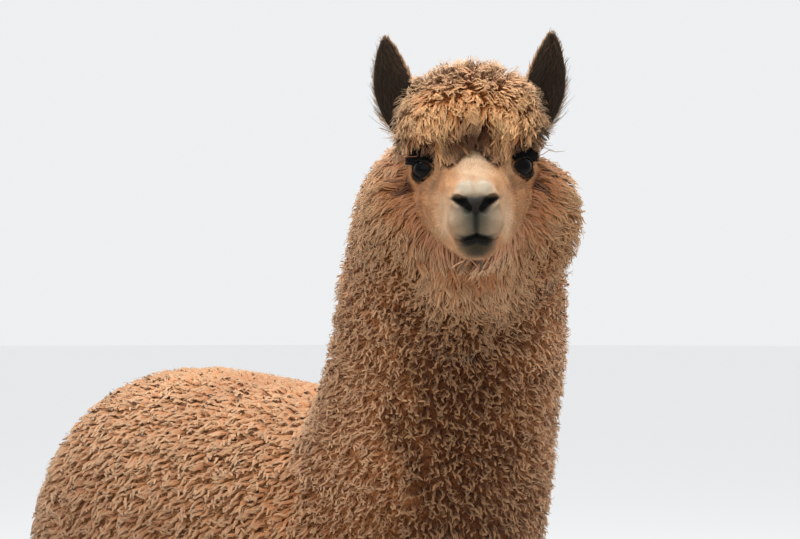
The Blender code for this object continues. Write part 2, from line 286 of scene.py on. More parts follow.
print("a soft step:", soft_step(np.linspace(0, 1, 5), 0, 1).round(2))

# %% [markdown]
# ## The skin
#
# The parted solids meet at thin cuts. Swollen by half a millimetre they overlap, and a voxel remesh then
# fuses them into one closed surface with no seam. That surface is the outline of the coat, so it is
# moved inwards by the depth of the coat, in small steps with a little smoothing so that it never folds.
# The head is remeshed much finer than the rest, because its short fur hides nothing.

# %% Fuse the flesh
EYE_RADIUS = 0.0195
EYE_AT = np.array([0.0550, 0.0, -0.003])
EAR_ROOT = np.array([0.076, 0.030, 0.045])
LEGS = [f"leg_{row}_{side}" for row in ("front", "hind") for side in ("left", "right")]
FEET = [name.replace("leg", "foot") for name in LEGS]
EARS, EYES = ["ear_left", "ear_right"], ["eye_left", "eye_right"]
HEAD_VOXEL = 0.0040
BODY_VOXEL = 0.0120
# Half of a cut between two solids and a little more, so that swollen neighbours overlap.
SWELL = 0.0005
# The head's own mesh and the body's overlap for a short way under the thick wool of the upper neck.
CUT_AT = HEAD.translation + Vector((0.02, 0.10, -0.17))
CUT_WAY = (HEAD.col[1].to_3d() * -0.55 + Vector((0, 0, 0.83))).normalized()
OVERLAP = 0.02


def merged_copy(node):
    """A solid's loose triangles joined to a closed surface, and swollen a little."""
    bm = bmesh.new()
    bm.from_mesh(frame["nodes"][node].data)
    bmesh.ops.remove_doubles(bm, verts=bm.verts, dist=1e-5)
    bm.normal_update()
    for vert in bm.verts:
        vert.co += vert.normal * SWELL
    return mesh_of(bm, node)


def fused(nodes, voxel, smoothing, balls=()):
    """One closed surface round the solids, and round any balls (centre in the head's frame, radius)."""
    bm = bmesh.new()
    for node in nodes:
        bm.from_mesh(merged_copy(node))
    for centre, radius in balls:
        place = Matrix.Translation(out_of_head(centre))
        bmesh.ops.create_uvsphere(bm, u_segments=24, v_segments=16, radius=radius, matrix=place)
    thing = linked("flesh", mesh_of(bm, "flesh"))
    fuse = thing.modifiers.new("fuse", "REMESH")
    fuse.mode, fuse.voxel_size = "VOXEL", voxel
    smooth = thing.modifiers.new("smooth", "SMOOTH")
    smooth.factor, smooth.iterations = 0.5, smoothing
    graph = bpy.context.evaluated_depsgraph_get()
    made = bpy.data.meshes.new_from_object(thing.evaluated_get(graph))
    bpy.data.objects.remove(thing)
    return made


def cut_off(mesh, at, way):
    """Removes what lies on the side that way points to, and closes the cut."""
    bm = bmesh.new()
    bm.from_mesh(mesh)
    geometry = [*bm.verts, *bm.edges, *bm.faces]
    bmesh.ops.bisect_plane(bm, geom=geometry, plane_co=at, plane_no=way, clear_outer=True)
    bmesh.ops.holes_fill(bm, edges=[edge for edge in bm.edges if edge.is_boundary])
    bm.to_mesh(mesh)
    bm.free()
    return mesh


def sunk(mesh, depth, rounds=5):
    """The surface moved inwards by a depth that depends on the place."""
    edges = edges_of(mesh)
    share = np.clip(depth / 0.010, 0.02, 1) * 0.5
    for _ in range(rounds):
        points = points_of(mesh) - normals_of(mesh) * depth[:, None] / rounds
        put_points(mesh, relaxed(points, edges, share, 2))
    return mesh


# %% [markdown]
# ## How deep the coat is
#
# The fleece is deep on the head and the body, thinner on the legs, and the face has almost none. One
# depth for all would drown the face in wool, so the depth is a function of the place, with soft borders
# between its parts. Two outlines bound the face: its edge under the wool of the cheeks, and the lower
# edge of the fringe.

# %% How deep the coat is
COAT_DEPTH = {"body": 0.016, "leg": 0.012, "tail": 0.014, "head": 0.022}
FACE_DEPTH = 0.0015
# The edge of the short-furred face in the head's frame, as (height, half width, how far back).
FACE_EDGE = [(-0.135, 0.018, -0.100), (-0.118, 0.036, -0.075), (-0.095, 0.054, -0.035),
             (-0.070, 0.067, -0.008), (-0.030, 0.072, 0.012), (0.000, 0.086, 0.022),
             (0.030, 0.088, 0.010)]
# The lower edge of the fringe, as (half width, height): it parts over the bridge and clears the eyes.
FRINGE_EDGE = [(0.000, 0.024), (0.009, 0.013), (0.019, -0.001), (0.030, -0.008), (0.038, 0.000),
               (0.046, 0.013), (0.062, 0.017), (0.080, 0.013), (0.095, 0.004)]


def over_fringe(q):
    """How far a place is above the lower edge of the fringe."""
    return q[:, 2] - np.interp(abs(q[:, 0]), *np.array(FRINGE_EDGE).T)


def face_share(q):
    """1 on the short fur of the face, 0 in the wool, for places in the head's frame."""
    heights, widths, backs = np.array(FACE_EDGE).T
    from_behind = np.interp(q[:, 2], heights, backs) - q[:, 1]
    from_side = np.interp(q[:, 2], heights, widths) - abs(q[:, 0])
    return soft_step(np.minimum(np.minimum(from_behind, from_side), -over_fringe(q)), -0.005, 0.005)


def body_depth(points):
    """Under the ruff the neck is fuller on one side, where the head turns away from it."""
    depth = np.full(len(points), COAT_DEPTH["body"])
    leg = 1 - soft_step(points[:, 2], 0.36, 0.50)
    depth += (COAT_DEPTH["leg"] - depth) * leg
    tail_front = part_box("tail")[0].y - 0.01
    tail = (points[:, 1] > tail_front) & (abs(points[:, 0]) < 0.06) & (leg < 0.5)
    depth[tail] = COAT_DEPTH["tail"]
    q = into_head(points)
    under_ruff = soft_step(-q[:, 2], 0.17, 0.21) * (1 - soft_step(-q[:, 2], 0.26, 0.36))
    return depth - 0.006 * under_ruff * soft_step(q[:, 0], 0.02, 0.08)


def head_depth(q):
    """The fringe thins out towards its lower edge, and one side of the ruff hangs closer to the head."""
    thin = (q[:, 1] < 0.0) * (abs(q[:, 0]) < 0.050) * (1 - soft_step(over_fringe(q), 0.0, 0.034))
    wool = COAT_DEPTH["head"] * (1 - 0.8 * thin)
    low = soft_step(-q[:, 2], 0.00, 0.05) * (1 - soft_step(-q[:, 2], 0.16, 0.22))
    wool = wool + 0.005 * low * soft_step(q[:, 0], 0.05, 0.09)
    return wool + (FACE_DEPTH - wool) * face_share(q)


# %% The body and the skull under the coat
EAR_ROOT_RADIUS = 0.020

body = fused([*LEGS, *FEET, "tail", "trunk", "neck", "head"], BODY_VOXEL, 4)
body = sunk(body, body_depth(points_of(body)))
body = cut_off(body, CUT_AT + CUT_WAY * OVERLAP, CUT_WAY)
ear_roots = [(EAR_ROOT * (side, 1, 1), EAR_ROOT_RADIUS) for side in (-1, 1)]
skull = fused(["head", "neck", *EYES], HEAD_VOXEL, 8, ear_roots)
skull_q = into_head(points_of(skull))
skull = sunk(skull, head_depth(skull_q))
under_wool = 1 - face_share(skull_q)
put_points(skull, relaxed(points_of(skull), edges_of(skull), 0.6 * under_wool, 40))
skull = cut_off(skull, CUT_AT, -CUT_WAY)
print("body", len(body.vertices), "points, head", len(skull.vertices))

# %% [markdown]
# ## The face
#
# The face is modelled as a sculptor would, on a finer mesh: hollows in front of the eyes, the brow, the
# cheekbone, the two lobes of the split upper lip, the comma-shaped nostrils and the line of the mouth.
# A brush moves the points near a place, and a groove the points near a line. Both work on both sides at
# once, because they look at the distance from the middle plane without its sign.

# %% Finer faces where the small forms are
def refined(mesh, wanted):
    """Splits in four each face whose middle is wanted."""
    bm = bmesh.new()
    bm.from_mesh(mesh)
    centres = into_head(np.array([face.calc_center_median() for face in bm.faces]))
    chosen = [edge for face, yes in zip(bm.faces, wanted(centres)) if yes for edge in face.edges]
    # Each edge once, in an order that is the same every time, which a set would not keep.
    chosen = list(dict.fromkeys(chosen))
    bmesh.ops.subdivide_edges(bm, edges=chosen, cuts=1, use_grid_fill=True)
    bmesh.ops.triangulate(bm, faces=[face for face in bm.faces if len(face.verts) > 4])
    bm.to_mesh(mesh)
    bm.free()
    mesh.update()
    return mesh


def near_muzzle(q):
    return (q[:, 1] < -0.100) & (q[:, 2] > -0.112) & (q[:, 2] < -0.020)


def on_face(q):
    return face_share(q) > 0.05


skull = refined(skull, on_face)
skull = refined(skull, near_muzzle)
edges = edges_of(skull)
put_points(skull, relaxed(points_of(skull), edges, 0.5 * face_share(into_head(points_of(skull))), 4))
print("head after refining", len(skull.vertices), "points")

# %% Brushes
def mirrored(q):
    return np.stack([abs(q[:, 0]), q[:, 1], q[:, 2]], axis=1)


def moves(q, normals, push):
    """push is a length along the normal, or a way to go on the left side, mirrored on the right."""
    if np.ndim(push) == 0:
        return normals * push
    sides = np.where(q[:, :1] < 0, -1.0, 1.0)
    return np.concatenate([sides * push[0], *(np.full((len(q), 1), v) for v in push[1:])], axis=1)


def brush(q, normals, centre, radii, push):
    """Moves what is near a centre: all the way there, not at all at the radii."""
    away = np.linalg.norm((mirrored(q) - centre) / radii, axis=1)
    share = np.clip(1 - away**2, 0, 1) ** 2
    return q + share[:, None] * moves(q, normals, push)


def line_distance(q, line):
    """The distance from a line of straight stretches, or from its mirror image."""
    q = mirrored(q)
    best = np.full(len(q), 1.0)
    for start, end in zip(np.array(line), np.array(line)[1:]):
        along = end - start
        t = np.clip((q - start) @ along / (along @ along), 0, 1)
        best = np.minimum(best, np.linalg.norm(q - start - t[:, None] * along, axis=1))
    return best


def mark_distance(q, line):
    """The distance from a line as seen from in front of the face, however deep the surface is there."""
    return line_distance(q * (1, 0, 1), np.array(line) * (1, 0, 1))


def groove(q, normals, line, width, push, hard=0.0):
    """Deepest on the line, gone at the width from it. hard is the share of the width with a flat floor."""
    share = 1 - soft_step(mark_distance(q, line), hard * width, width)
    share = share * (1 - soft_step(q[:, 1], -0.100, -0.085))
    return q + share[:, None] * moves(q, normals, push)


# %% Shape the bones and the nose
# Lines on the left half of the face: the split of the upper lip, the edge of the muzzle, and the dip
# between the two halves of the nose.
PHILTRUM = [(0.0, -0.139, -0.066), (0.0, -0.136, -0.0925)]
FURROW = [(0.0310, -0.121, -0.036), (0.0340, -0.118, -0.052), (0.0385, -0.110, -0.072),
          (0.0340, -0.112, -0.090), (0.0250, -0.118, -0.099)]
NOSE_SPLIT = [(0, -0.13, -0.022), (0, -0.139, -0.042)]


def head_normals(mesh):
    return normals_of(mesh) @ OUT_OF_HEAD[:3, :3]


def shape_bones(q, n):
    """The hollow before the eye and the one below it, the cheekbone, the brow, the cheek and the jaw."""
    q = brush(q, n, (0.058, -0.044, -0.002), (0.028, 0.040, 0.032), -0.012)
    q = brush(q, n, (0.050, -0.036, -0.030), (0.022, 0.030, 0.020), -0.003)
    q = brush(q, n, (0.068, -0.008, -0.045), (0.022, 0.030, 0.022), 0.003)
    q = brush(q, n, (0.052, -0.020, 0.020), (0.024, 0.026, 0.012), 0.004)
    q = brush(q, n, (0.046, -0.075, -0.060), (0.020, 0.034, 0.030), -0.003)
    return brush(q, n, (0.040, -0.085, -0.105), (0.026, 0.034, 0.026), -0.003)


def shape_nose(q, n):
    """The dome and wings of the nose, the lobe of the lip, the lower lip, the pad, and their furrows."""
    q = brush(q, n, (0.0125, -0.126, -0.030), (0.0135, 0.022, 0.013), 0.0042)
    q = brush(q, n, (0.0280, -0.122, -0.0440), (0.012, 0.018, 0.016), 0.0035)
    q = brush(q, n, (0.0205, -0.126, -0.0785), (0.0235, 0.030, 0.0190), 0.0085)
    q = brush(q, n, (0.0, -0.122, -0.1070), (0.028, 0.024, 0.014), (0, -0.0050, 0.0))
    q = brush(q, n, (0.0, -0.138, -0.0540), (0.012, 0.014, 0.013), 0.0025)
    q = groove(q, n, FURROW, 0.0080, -0.0026)
    q = groove(q, n, NOSE_SPLIT, 0.006, -0.0022)
    return groove(q, n, PHILTRUM, 0.0045, -0.0036)


# %% Cut the mouth and the nostrils
NOSTRIL = [(0.0220, -0.126, -0.0490), (0.0160, -0.133, -0.0530), (0.0105, -0.137, -0.0610)]
MOUTH = [(0.0, -0.132, -0.0915), (0.006, -0.132, -0.0940), (0.0135, -0.131, -0.0955),
         (0.0235, -0.126, -0.0925)]


def cut_openings(q, n):
    """The mouth and the nostrils go straight in, with a flat floor."""
    q = groove(q, n, MOUTH, 0.0050, (0, 0.0075, 0.0006), 0.30)
    q = groove(q, n, NOSTRIL, 0.0078, (-0.003, 0.0110, 0.002), 0.40)
    return brush(q, n, (0.0155, -0.128, -0.0515), (0.0090, 0.030, 0.0075), (0, 0.0050, 0.0))


for stage in (shape_bones, shape_nose, cut_openings):
    q = stage(into_head(points_of(skull)), head_normals(skull))
    put_points(skull, relaxed(out_of_head(q), edges, 0.25 * face_share(q), 1))
print("face sculpted, nose tip at", round(into_head(points_of(skull))[:, 1].min(), 4))

# %% [markdown]
# ## Eye sockets
#
# An eye sits in a hollow of the skull, and the skin dips in under its rim. A boolean cut would leave
# ragged small faces at the edge of the hollow. So each point of the skin near an eye slides along the
# line from the eye's middle instead, until it is as deep as the socket is there.

# %% Eye sockets
# How far the eyes look out to the side from straight ahead.
EYE_ASIDE = math.radians(46)
# The left eye's directions: out of it, across it towards the ear, and up over it.
EYE_OUT = unit(np.array([math.sin(EYE_ASIDE), -math.cos(EYE_ASIDE), 0.03]))
EYE_ACROSS = unit(np.cross((0, 0, 1), EYE_OUT))
EYE_UP = np.cross(EYE_OUT, EYE_ACROSS)
# How far the skin of the socket is above the eyeball's surface, at these angles from straight out.
SOCKET_ANGLES = [0, 62, 80, 180]
SOCKET_HEIGHTS = [-0.004, -0.003, 0.0016, 0.0016]
# In eyeball radii: skin nearer than the first moves all the way, and beyond the second not at all.
SOCKET_REACH = (1.12, 1.40)


def seen_from_eye(q):
    """The way from the eye's middle to each place, how far it is, and its angle from straight out."""
    arm = mirrored(q) - EYE_AT
    way = unit(arm)
    return way, np.linalg.norm(arm, axis=1), np.degrees(np.arccos(np.clip(way @ EYE_OUT, -1, 1)))


def open_sockets(q):
    """Round each eye the skin dips under the front of the eyeball, and hugs its sides."""
    way, reach, angle = seen_from_eye(q)
    wanted = EYE_RADIUS + np.interp(angle, SOCKET_ANGLES, SOCKET_HEIGHTS)
    inner, outer = (EYE_RADIUS * share for share in SOCKET_REACH)
    share = (1 - soft_step(reach, inner, outer)) * (1 - soft_step(angle, 84, 104))
    put = EYE_AT + way * (reach + (wanted - reach) * share)[:, None]
    put[:, 0] *= np.where(q[:, 0] < 0, -1.0, 1.0)
    return put


put_points(skull, out_of_head(open_sockets(into_head(points_of(skull)))))
print("the eyes look", round(math.degrees(EYE_ASIDE)), "degrees out to the side")

# %% [markdown]
# ## Lids
#
# A lid is a thin fold of skin that hugs the eyeball and ends in a rounded rim. It could be sculpted from
# the face, but a rim so sharp needs very small faces. So the lids are a ring of their own: a circle is
# extruded outwards several times, and each loop is then wrapped round the eyeball at the height that
# the fold has there. The first loop is the almond-shaped opening, and the last dives below the skin.

# %% The opening between the lids
# How far the opening reaches from its middle towards the corners, up and down, in degrees as seen from
# the middle of the eye.
OPENING_WIDE, OPENING_UP, OPENING_DOWN = 52.0, 31.0, 35.0
# 2 would give an ellipse, and less draws the corners out to points.
ALMOND = 1.65


def opening_at(turn):
    """The opening's half angle in each direction round the eye's axis."""
    tall = np.where(np.sin(turn) > 0, OPENING_UP, OPENING_DOWN)
    wide = abs(np.cos(turn) / OPENING_WIDE) ** ALMOND
    return (wide + abs(np.sin(turn) / tall) ** ALMOND) ** (-1 / ALMOND)


def beyond_opening(q):
    """How many degrees a place near an eye is outside the opening between the lids."""
    way, _, angle = seen_from_eye(q)
    return angle - opening_at(np.arctan2(way @ EYE_UP, way @ EYE_ACROSS))


def on_eye(turn, angle, height):
    """A place over the left eyeball, from its turn round the eye and its angle from straight out."""
    angle, reach = np.radians(angle)[:, None], (EYE_RADIUS + height)[:, None]
    flat = np.cos(turn)[:, None] * EYE_ACROSS + np.sin(turn)[:, None] * EYE_UP
    return EYE_AT + reach * (np.sin(angle) * flat + np.cos(angle) * EYE_OUT)


print("the opening is", 2 * OPENING_WIDE, "degrees wide and", OPENING_UP + OPENING_DOWN, "degrees high")

# %% Make the lids
LID_POINTS = 72
# Each loop as (degrees beyond the opening, height over the eyeball).
LID_LOOPS = [(9.0, -0.0020), (2.0, -0.0004), (0.0, 0.0004), (-0.3, 0.0010), (0.9, 0.0016),
             (4.0, 0.0020), (8.0, 0.0020), (11.5, 0.0012), (15.0, 0.0017), (20.0, 0.0019)]
# The last two loops as (degrees from straight out, height): the outer edge, and the end under the skin.
LID_EDGE = (84.0, 0.0010)
LID_END = (95.0, -0.0040)


def lid_place(loops, turn):
    """Where a point of the given loop goes, for fractional loops counted from 0."""
    beyond, height = (np.interp(loops, range(len(LID_LOOPS)), values) for values in zip(*LID_LOOPS))
    angle = opening_at(turn) + beyond
    last = len(LID_LOOPS) - 1
    for step, (end_angle, end_height) in enumerate((LID_EDGE, LID_END)):
        at_end = loops > last + step + 0.5
        angle = np.where(at_end, end_angle, np.minimum(angle, LID_EDGE[0] - 1))
        height = np.where(at_end, end_height, height)
    return on_eye(turn, angle, height)


def make_lids(bm):
    bmesh.ops.create_circle(bm, segments=LID_POINTS, radius=1)
    first = edges = list(bm.edges)
    for loop in range(1, len(LID_LOOPS) + 2):
        made = bmesh.ops.extrude_edge_only(bm, edges=edges)["geom"]
        edges = [item for item in made if isinstance(item, bmesh.types.BMEdge)]
        verts = [item for item in made if isinstance(item, bmesh.types.BMVert)]
        bmesh.ops.scale(bm, vec=[(loop + 1) / loop] * 3, verts=verts)
    bmesh.ops.bridge_loops(bm, edges=[*first, *edges])
    flat = np.array([vert.co for vert in bm.verts])
    turn = np.arctan2(flat[:, 1], flat[:, 0])
    for vert, place in zip(bm.verts, lid_place(np.linalg.norm(flat, axis=1) - 1, turn)):
        vert.co = place
    bmesh.ops.recalc_face_normals(bm, faces=bm.faces)


# Some operators return their faces in an order that changes from run to run, and chance would then grow
# other hairs on them. Sorted along a slanting line they are the same each time.
SORTING_WAY = Vector((1.0, 1.7, 2.9))


def on_both_sides(make, name):
    """The left piece that make models in the head's frame, and its mirror image, placed in the world."""
    whole = bmesh.new()
    for side in (1, -1):
        bm = bmesh.new()
        make(bm)
        bm.verts.sort(key=lambda vert: vert.co.dot(SORTING_WAY))
        bm.faces.sort(key=lambda face: face.calc_center_median().dot(SORTING_WAY))
        bmesh.ops.scale(bm, vec=(side, 1, 1), verts=bm.verts)
        if side < 0:
            bmesh.ops.reverse_faces(bm, faces=bm.faces)
        bmesh.ops.transform(bm, matrix=HEAD, verts=bm.verts)
        half = mesh_of(bm, name)
        whole.from_mesh(half)
        bpy.data.meshes.remove(half)
    return mesh_of(whole, name)


lids = on_both_sides(make_lids, "lids")
print("lids", len(lids.polygons), "faces")

# %% [markdown]
# ## Eyeballs
#
# The eyeball is a sphere whose poles lie on the line of sight, so that its rings run round the iris.
# The clear front of a real eye, the cornea, stands a little proud, which is what catches the highlight.

# %% Eyeballs
CORNEA_BULGE = 0.0016
CORNEA_ANGLE = 38.0


def make_eyeball(bm):
    bmesh.ops.create_uvsphere(bm, u_segments=64, v_segments=48, radius=1)
    for vert in bm.verts:
        angle = math.degrees(math.acos(max(-1.0, min(1.0, vert.co.z))))
        bulge = CORNEA_BULGE * (0.5 + 0.5 * math.cos(math.pi * min(angle / CORNEA_ANGLE, 1.0)))
        away = EYE_ACROSS * vert.co.x + EYE_UP * vert.co.y + EYE_OUT * vert.co.z
        vert.co = EYE_AT + (EYE_RADIUS + bulge) * away


eyeballs = on_both_sides(make_eyeball, "eyes")
print("eyeballs", len(eyeballs.polygons), "faces")

# %% [markdown]
# ## Ears and feet
#
# The ears and feet solids already have the true outline. A fine voxel remesh with some smoothing rounds
# their facets. They stay loose shells inside the one skin: their roots are deep in the wool.

# %% Ears and feet
EAR_VOXEL = 0.0024
FOOT_VOXEL = 0.0042
FOOT_DEPTH = 0.0012

ears = fused(EARS, EAR_VOXEL, 5)
feet = fused(FEET, FOOT_VOXEL, 4)
feet = sunk(feet, np.full(len(feet.vertices), FOOT_DEPTH))
print("ears", len(ears.vertices), "points, feet", len(feet.vertices))

# %% [markdown]
# ## Markings
#
# Skin and coat share their colours, so both ask the same function what colour the animal has at a place.
# It lays named colours over each other, each within soft edges: fawn all over, paler on the bridge of
# the nose, sooty round the eyes, on the nose and on the chin, grey-white on the lips, and nearly black
# inside the ears. Some of them are painted light and shade: painted shade under the fringe, above and
# below the eyes, under the lips, in the mouth and the nostrils, and with some dirt in the middle of the
# neck, and painted light on the front of the topknot and on the sides of the neck.

# %% Colours
def tone(red, green, blue):
    """A colour as seen on a screen, 0 to 255, as the linear values that a shader takes."""
    share = np.array([red, green, blue]) / 255
    return np.where(share < 0.04045, share / 12.92, ((share + 0.055) / 1.055) ** 2.4)


FAWN = tone(180, 143, 106)
FAWN_DEEP = tone(164, 124, 87)
RUFF = tone(192, 145, 102)
NECK_SHADE = tone(164, 116, 74)
NECK_SIDE_PAINTED_LIGHT = tone(228, 180, 136)
TOPKNOT_FRONT_PAINTED_LIGHT = tone(255, 196, 134)
CROWN = tone(206, 158, 114)
FRINGE_PAINTED_SHADE = tone(84, 46, 20)
BRIDGE = tone(184, 158, 130)
FACE = tone(184, 142, 104)
FACE_EDGE_FUR = tone(158, 108, 68)
MUZZLE = tone(66, 70, 62)
LIP_SHADE = tone(58, 55, 44)
UNDER_EYE_PAINTED_SHADOW = tone(78, 58, 44)
EYE_BLACK = tone(7, 6, 5)
DOME = tone(176, 166, 148)
NOSE = tone(34, 31, 27)
OPENINGS_PAINTED_SHADE = tone(8, 8, 8)
CHIN = tone(46, 40, 26)
EAR_DARK = tone(40, 34, 27)
EAR_EDGE = tone(128, 98, 70)
LEG = tone(190, 148, 106)


def laid(colours, share, colour):
    """A colour laid over others, by a share for each place."""
    return colours + (colour - colours) * np.clip(share, 0, 1)[:, None]


def near(q, centre, radii, soft=0.5):
    """1 near a place on both sides of the head, falling to 0 at the given radii."""
    away = np.linalg.norm((mirrored(q) - centre) / radii, axis=1)
    return 1 - soft_step(away, 1 - soft, 1)


def ripple(points, size, seed):
    """A smooth wavy value about -1 to 1, whose waves are about the given size."""
    rng = np.random.default_rng(seed)
    total = np.zeros(len(points))
    for _ in range(7):
        way = unit(rng.normal(size=3)) * rng.uniform(0.7, 1.5) * 2 * math.pi / size
        total += np.sin(points @ way + rng.uniform(0, 2 * math.pi))
    return total / 3.0


print("fawn, as a shader takes it:", FAWN.round(3))

# %% Colours of the fleece
def neck_middle(points, q):
    """1 in the middle of the neck's front, which is painted darker: painted shade from the head above and
    in the neck's hollow, with some dirt.
    """
    neck = 1 - soft_step(abs(q[:, 0] + 0.022) + 0.020 * ripple(points, 0.05, 4), 0.020, 0.125)
    neck = neck * (1 - soft_step(q[:, 2] + 0.016 * ripple(points, 0.06, 6), -0.240, -0.100))
    return neck * (1 - soft_step(q[:, 1], 0.11, 0.24)) * soft_step(points[:, 2], 0.50, 0.70)


def fleece_colours(points, q):
    """The body, legs and neck."""
    colours = np.tile(FAWN, (len(points), 1))
    colours = laid(colours, 0.5 + 0.5 * ripple(points, 0.30, 1), FAWN_DEEP)
    colours = laid(colours, 1 - soft_step(points[:, 2], 0.30, 0.50), LEG)
    shoulder = soft_step(points[:, 2], 0.62, 0.90) * (1 - soft_step(points[:, 1], -0.30, -0.10))
    colours = laid(colours, shoulder, RUFF)
    middle = neck_middle(points, q)
    sides = (1 - middle) * (q[:, 2] < 0) * soft_step(-q[:, 2], 0.10, 0.20)
    sides = sides * soft_step(points[:, 2], 0.70, 0.90)
    sides = sides * (1 - soft_step(points[:, 1] + 0.5 * (points[:, 2] - 0.9), -0.38, -0.24))
    # Painted light: the sides of the neck are painted paler, as their tips catch more light than the
    # middle.
    colours = laid(colours, 0.8 * sides, NECK_SIDE_PAINTED_LIGHT)
    # Painted shade, with some dirt, in the middle of the neck's front.
    return laid(colours, 0.75 * middle, NECK_SHADE)


def topknot_colours(colours, q):
    """The wool over the brow, palest in front, where light is painted on, and deep brown at the roots
    of the fringe, where the shade of the topknot over it is painted on.
    """
    topknot = soft_step(q[:, 2], 0.0, 0.04)
    colours = laid(colours, topknot, CROWN)
    # Painted light: the front is painted paler than the crown, against the shade its own locks cast there.
    front = (1 - soft_step(q[:, 1], -0.02, 0.05)) * (1 - soft_step(q[:, 2], 0.075, 0.105))
    colours = laid(colours, topknot * front, TOPKNOT_FRONT_PAINTED_LIGHT)
    # Painted shade from the overhanging topknot, on the fringe's roots and along its lower edge over the
    # eyes.
    fringe = near(q, (0, -0.070, 0.044), (0.066, 0.080, 0.038), 0.6)
    edge = (q[:, 1] < 0.02) * (q[:, 2] > -0.03) * (1 - soft_step(over_fringe(q), 0.008, 0.030))
    return laid(colours, np.maximum(fringe, edge), FRINGE_PAINTED_SHADE)


# %% Colours of the face
# Patches on the face, both sides alike. The kind says whether a patch reaches the edge of the face
# ("fur") or keeps to its barest part, and then come strength, centre, radii, softness and colour.
FACE_PATCHES = [
    ("fur", 1.00, (0.000, -0.085, -0.004), (0.034, 0.080, 0.0440), 0.70, BRIDGE),
    ("fur", 0.90, (0.042, -0.085, -0.068), (0.018, 0.050, 0.0520), 0.80, BRIDGE),
    ("fur", 1.00, (0.000, -0.130, -0.062), (0.056, 0.050, 0.0560), 0.60, BRIDGE),
    ("bare", 1.00, (0.000, -0.125, -0.070), (0.045, 0.050, 0.0500), 0.80, MUZZLE),
    ("bare", 1.00, (0.012, -0.130, -0.030), (0.022, 0.040, 0.0160), 0.70, DOME),
    # Painted shade at the bottom of the lobes of the upper lip, where they overhang the mouth.
    ("bare", 1.00, (0.000, -0.125, -0.099), (0.036, 0.040, 0.0180), 0.90, LIP_SHADE),
    ("bare", 1.00, (0.000, -0.117, -0.109), (0.034, 0.046, 0.0205), 0.85, CHIN),
    # Painted shadow under the eye, below the bulge of the eyeball.
    ("fur", 0.60, (0.052, -0.040, -0.024), (0.019, 0.026, 0.0200), 0.90, UNDER_EYE_PAINTED_SHADOW),
]


def face_colours(colours, points, q):
    face = face_share(q)
    within = {"fur": face, "bare": soft_step(face, 0.5, 1.0)}
    colours = laid(colours, face, FACE)
    colours = laid(colours, 0.6 * face * soft_step(abs(q[:, 0]), 0.040, 0.068), FACE_EDGE_FUR)
    colours = laid(colours, 0.75 * face * (0.4 + 0.6 * ripple(points, 0.030, 9)), FACE_EDGE_FUR)
    for kind, strength, centre, radii, soft, colour in FACE_PATCHES:
        colours = laid(colours, strength * within[kind] * near(q, centre, radii, soft), colour)
    return colours


def over_eye(q):
    """1 where a place is above an eye or on its outer side, 0 below it and at its inner corner."""
    way = seen_from_eye(q)[0]
    return soft_step(way @ EYE_UP + 0.20 * (way @ EYE_ACROSS), 0.02, 0.55)


def eye_shadow(q):
    """1 on the black skin round an eye, widest above it and on its outer side, where painted shade under
    the lashes and brow is added.
    """
    over = over_eye(q)
    near_eye = 1 - soft_step(seen_from_eye(q)[1], 0.0220, 0.0260)
    return near_eye * (1 - soft_step(beyond_opening(q), 4 + 3 * over, 11 + 5 * over))


def markings(points):
    """The colour of skin and coat at each place."""
    q = into_head(points)
    colours = topknot_colours(fleece_colours(points, q), q)
    colours = face_colours(colours, points, q)
    return laid(colours, eye_shadow(q), EYE_BLACK)


print(len(FACE_PATCHES), "patches on the face")

# %% [markdown]
# ## One skin
#
# The shells are joined into one mesh. What tells them apart afterwards is stored on the points: their
# colour, how bare they are, and how wet.

# %% Join the skin
def joined(name, meshes):
    """One mesh of several, and for each point the number of the mesh that it came from."""
    bm = bmesh.new()
    for mesh in meshes:
        bm.from_mesh(mesh)
    part = np.repeat(np.arange(len(meshes)), [len(mesh.vertices) for mesh in meshes])
    return mesh_of(bm, name), part


def add_piece(name, mesh, material, slot, *nodes):
    """A finished piece that rides on the body and, where nodes are named, takes their place."""
    thing = linked(name, mesh)
    mesh.materials.clear()
    mesh.materials.append(material)
    mesh.polygons.foreach_set("use_smooth", np.ones(len(mesh.polygons), bool))
    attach(thing, "root")
    if nodes:
        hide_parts(*nodes)


def store(mesh, name, values):
    """A number or a colour for each point, kept on the mesh for its material to read."""
    kind = "FLOAT_COLOR" if np.ndim(values) == 2 else "FLOAT"
    attribute = mesh.attributes.new(name, kind, "POINT")
    if np.ndim(values) == 2:
        values = np.concatenate([values, np.ones((len(values), 1))], axis=1)
        attribute.data.foreach_set("color", values.astype(np.float32).ravel())
    else:
        attribute.data.foreach_set("value", values.astype(np.float32))


# The numbers of the shells within the skin, in the order in which they are joined.
BODY, SKULL, LIDS, EAR, FOOT = range(5)
skin, skin_part = joined("skin", [body, skull, lids, ears, feet])
skin_points = points_of(skin)
skin_q = into_head(skin_points)
print("skin", len(skin.vertices), "points", len(triangles_of(skin)), "triangles")


# %% Looks of the skin, point by point
def ear_facing(q, normals):
    """From 1 where an ear's surface faces its hollow side, forwards and outwards, to -1 on its back."""
    side = np.where(q[:, 0] < 0, -1.0, 1.0)
    return -normals[:, 1] * 0.9 + normals[:, 0] * side * 0.45


def nose_marks(q, front):
    """The bare pad of the nose, a wedge that narrows downwards, and the nostrils within it."""
    half_wide, high = abs(q[:, 0]), q[:, 2]
    pad = soft_step(high + 0.0705 - 0.73 * half_wide, 0, 0.0045) * soft_step(-0.0405 - high, 0, 0.009)
    pad = pad * front
    inner_edge = 0.0088 + 0.20 * (high + 0.046)
    nostril = pad * soft_step(-0.0440 - high, 0, 0.004) * soft_step(half_wide - inner_edge, 0, 0.003)
    return pad, nostril


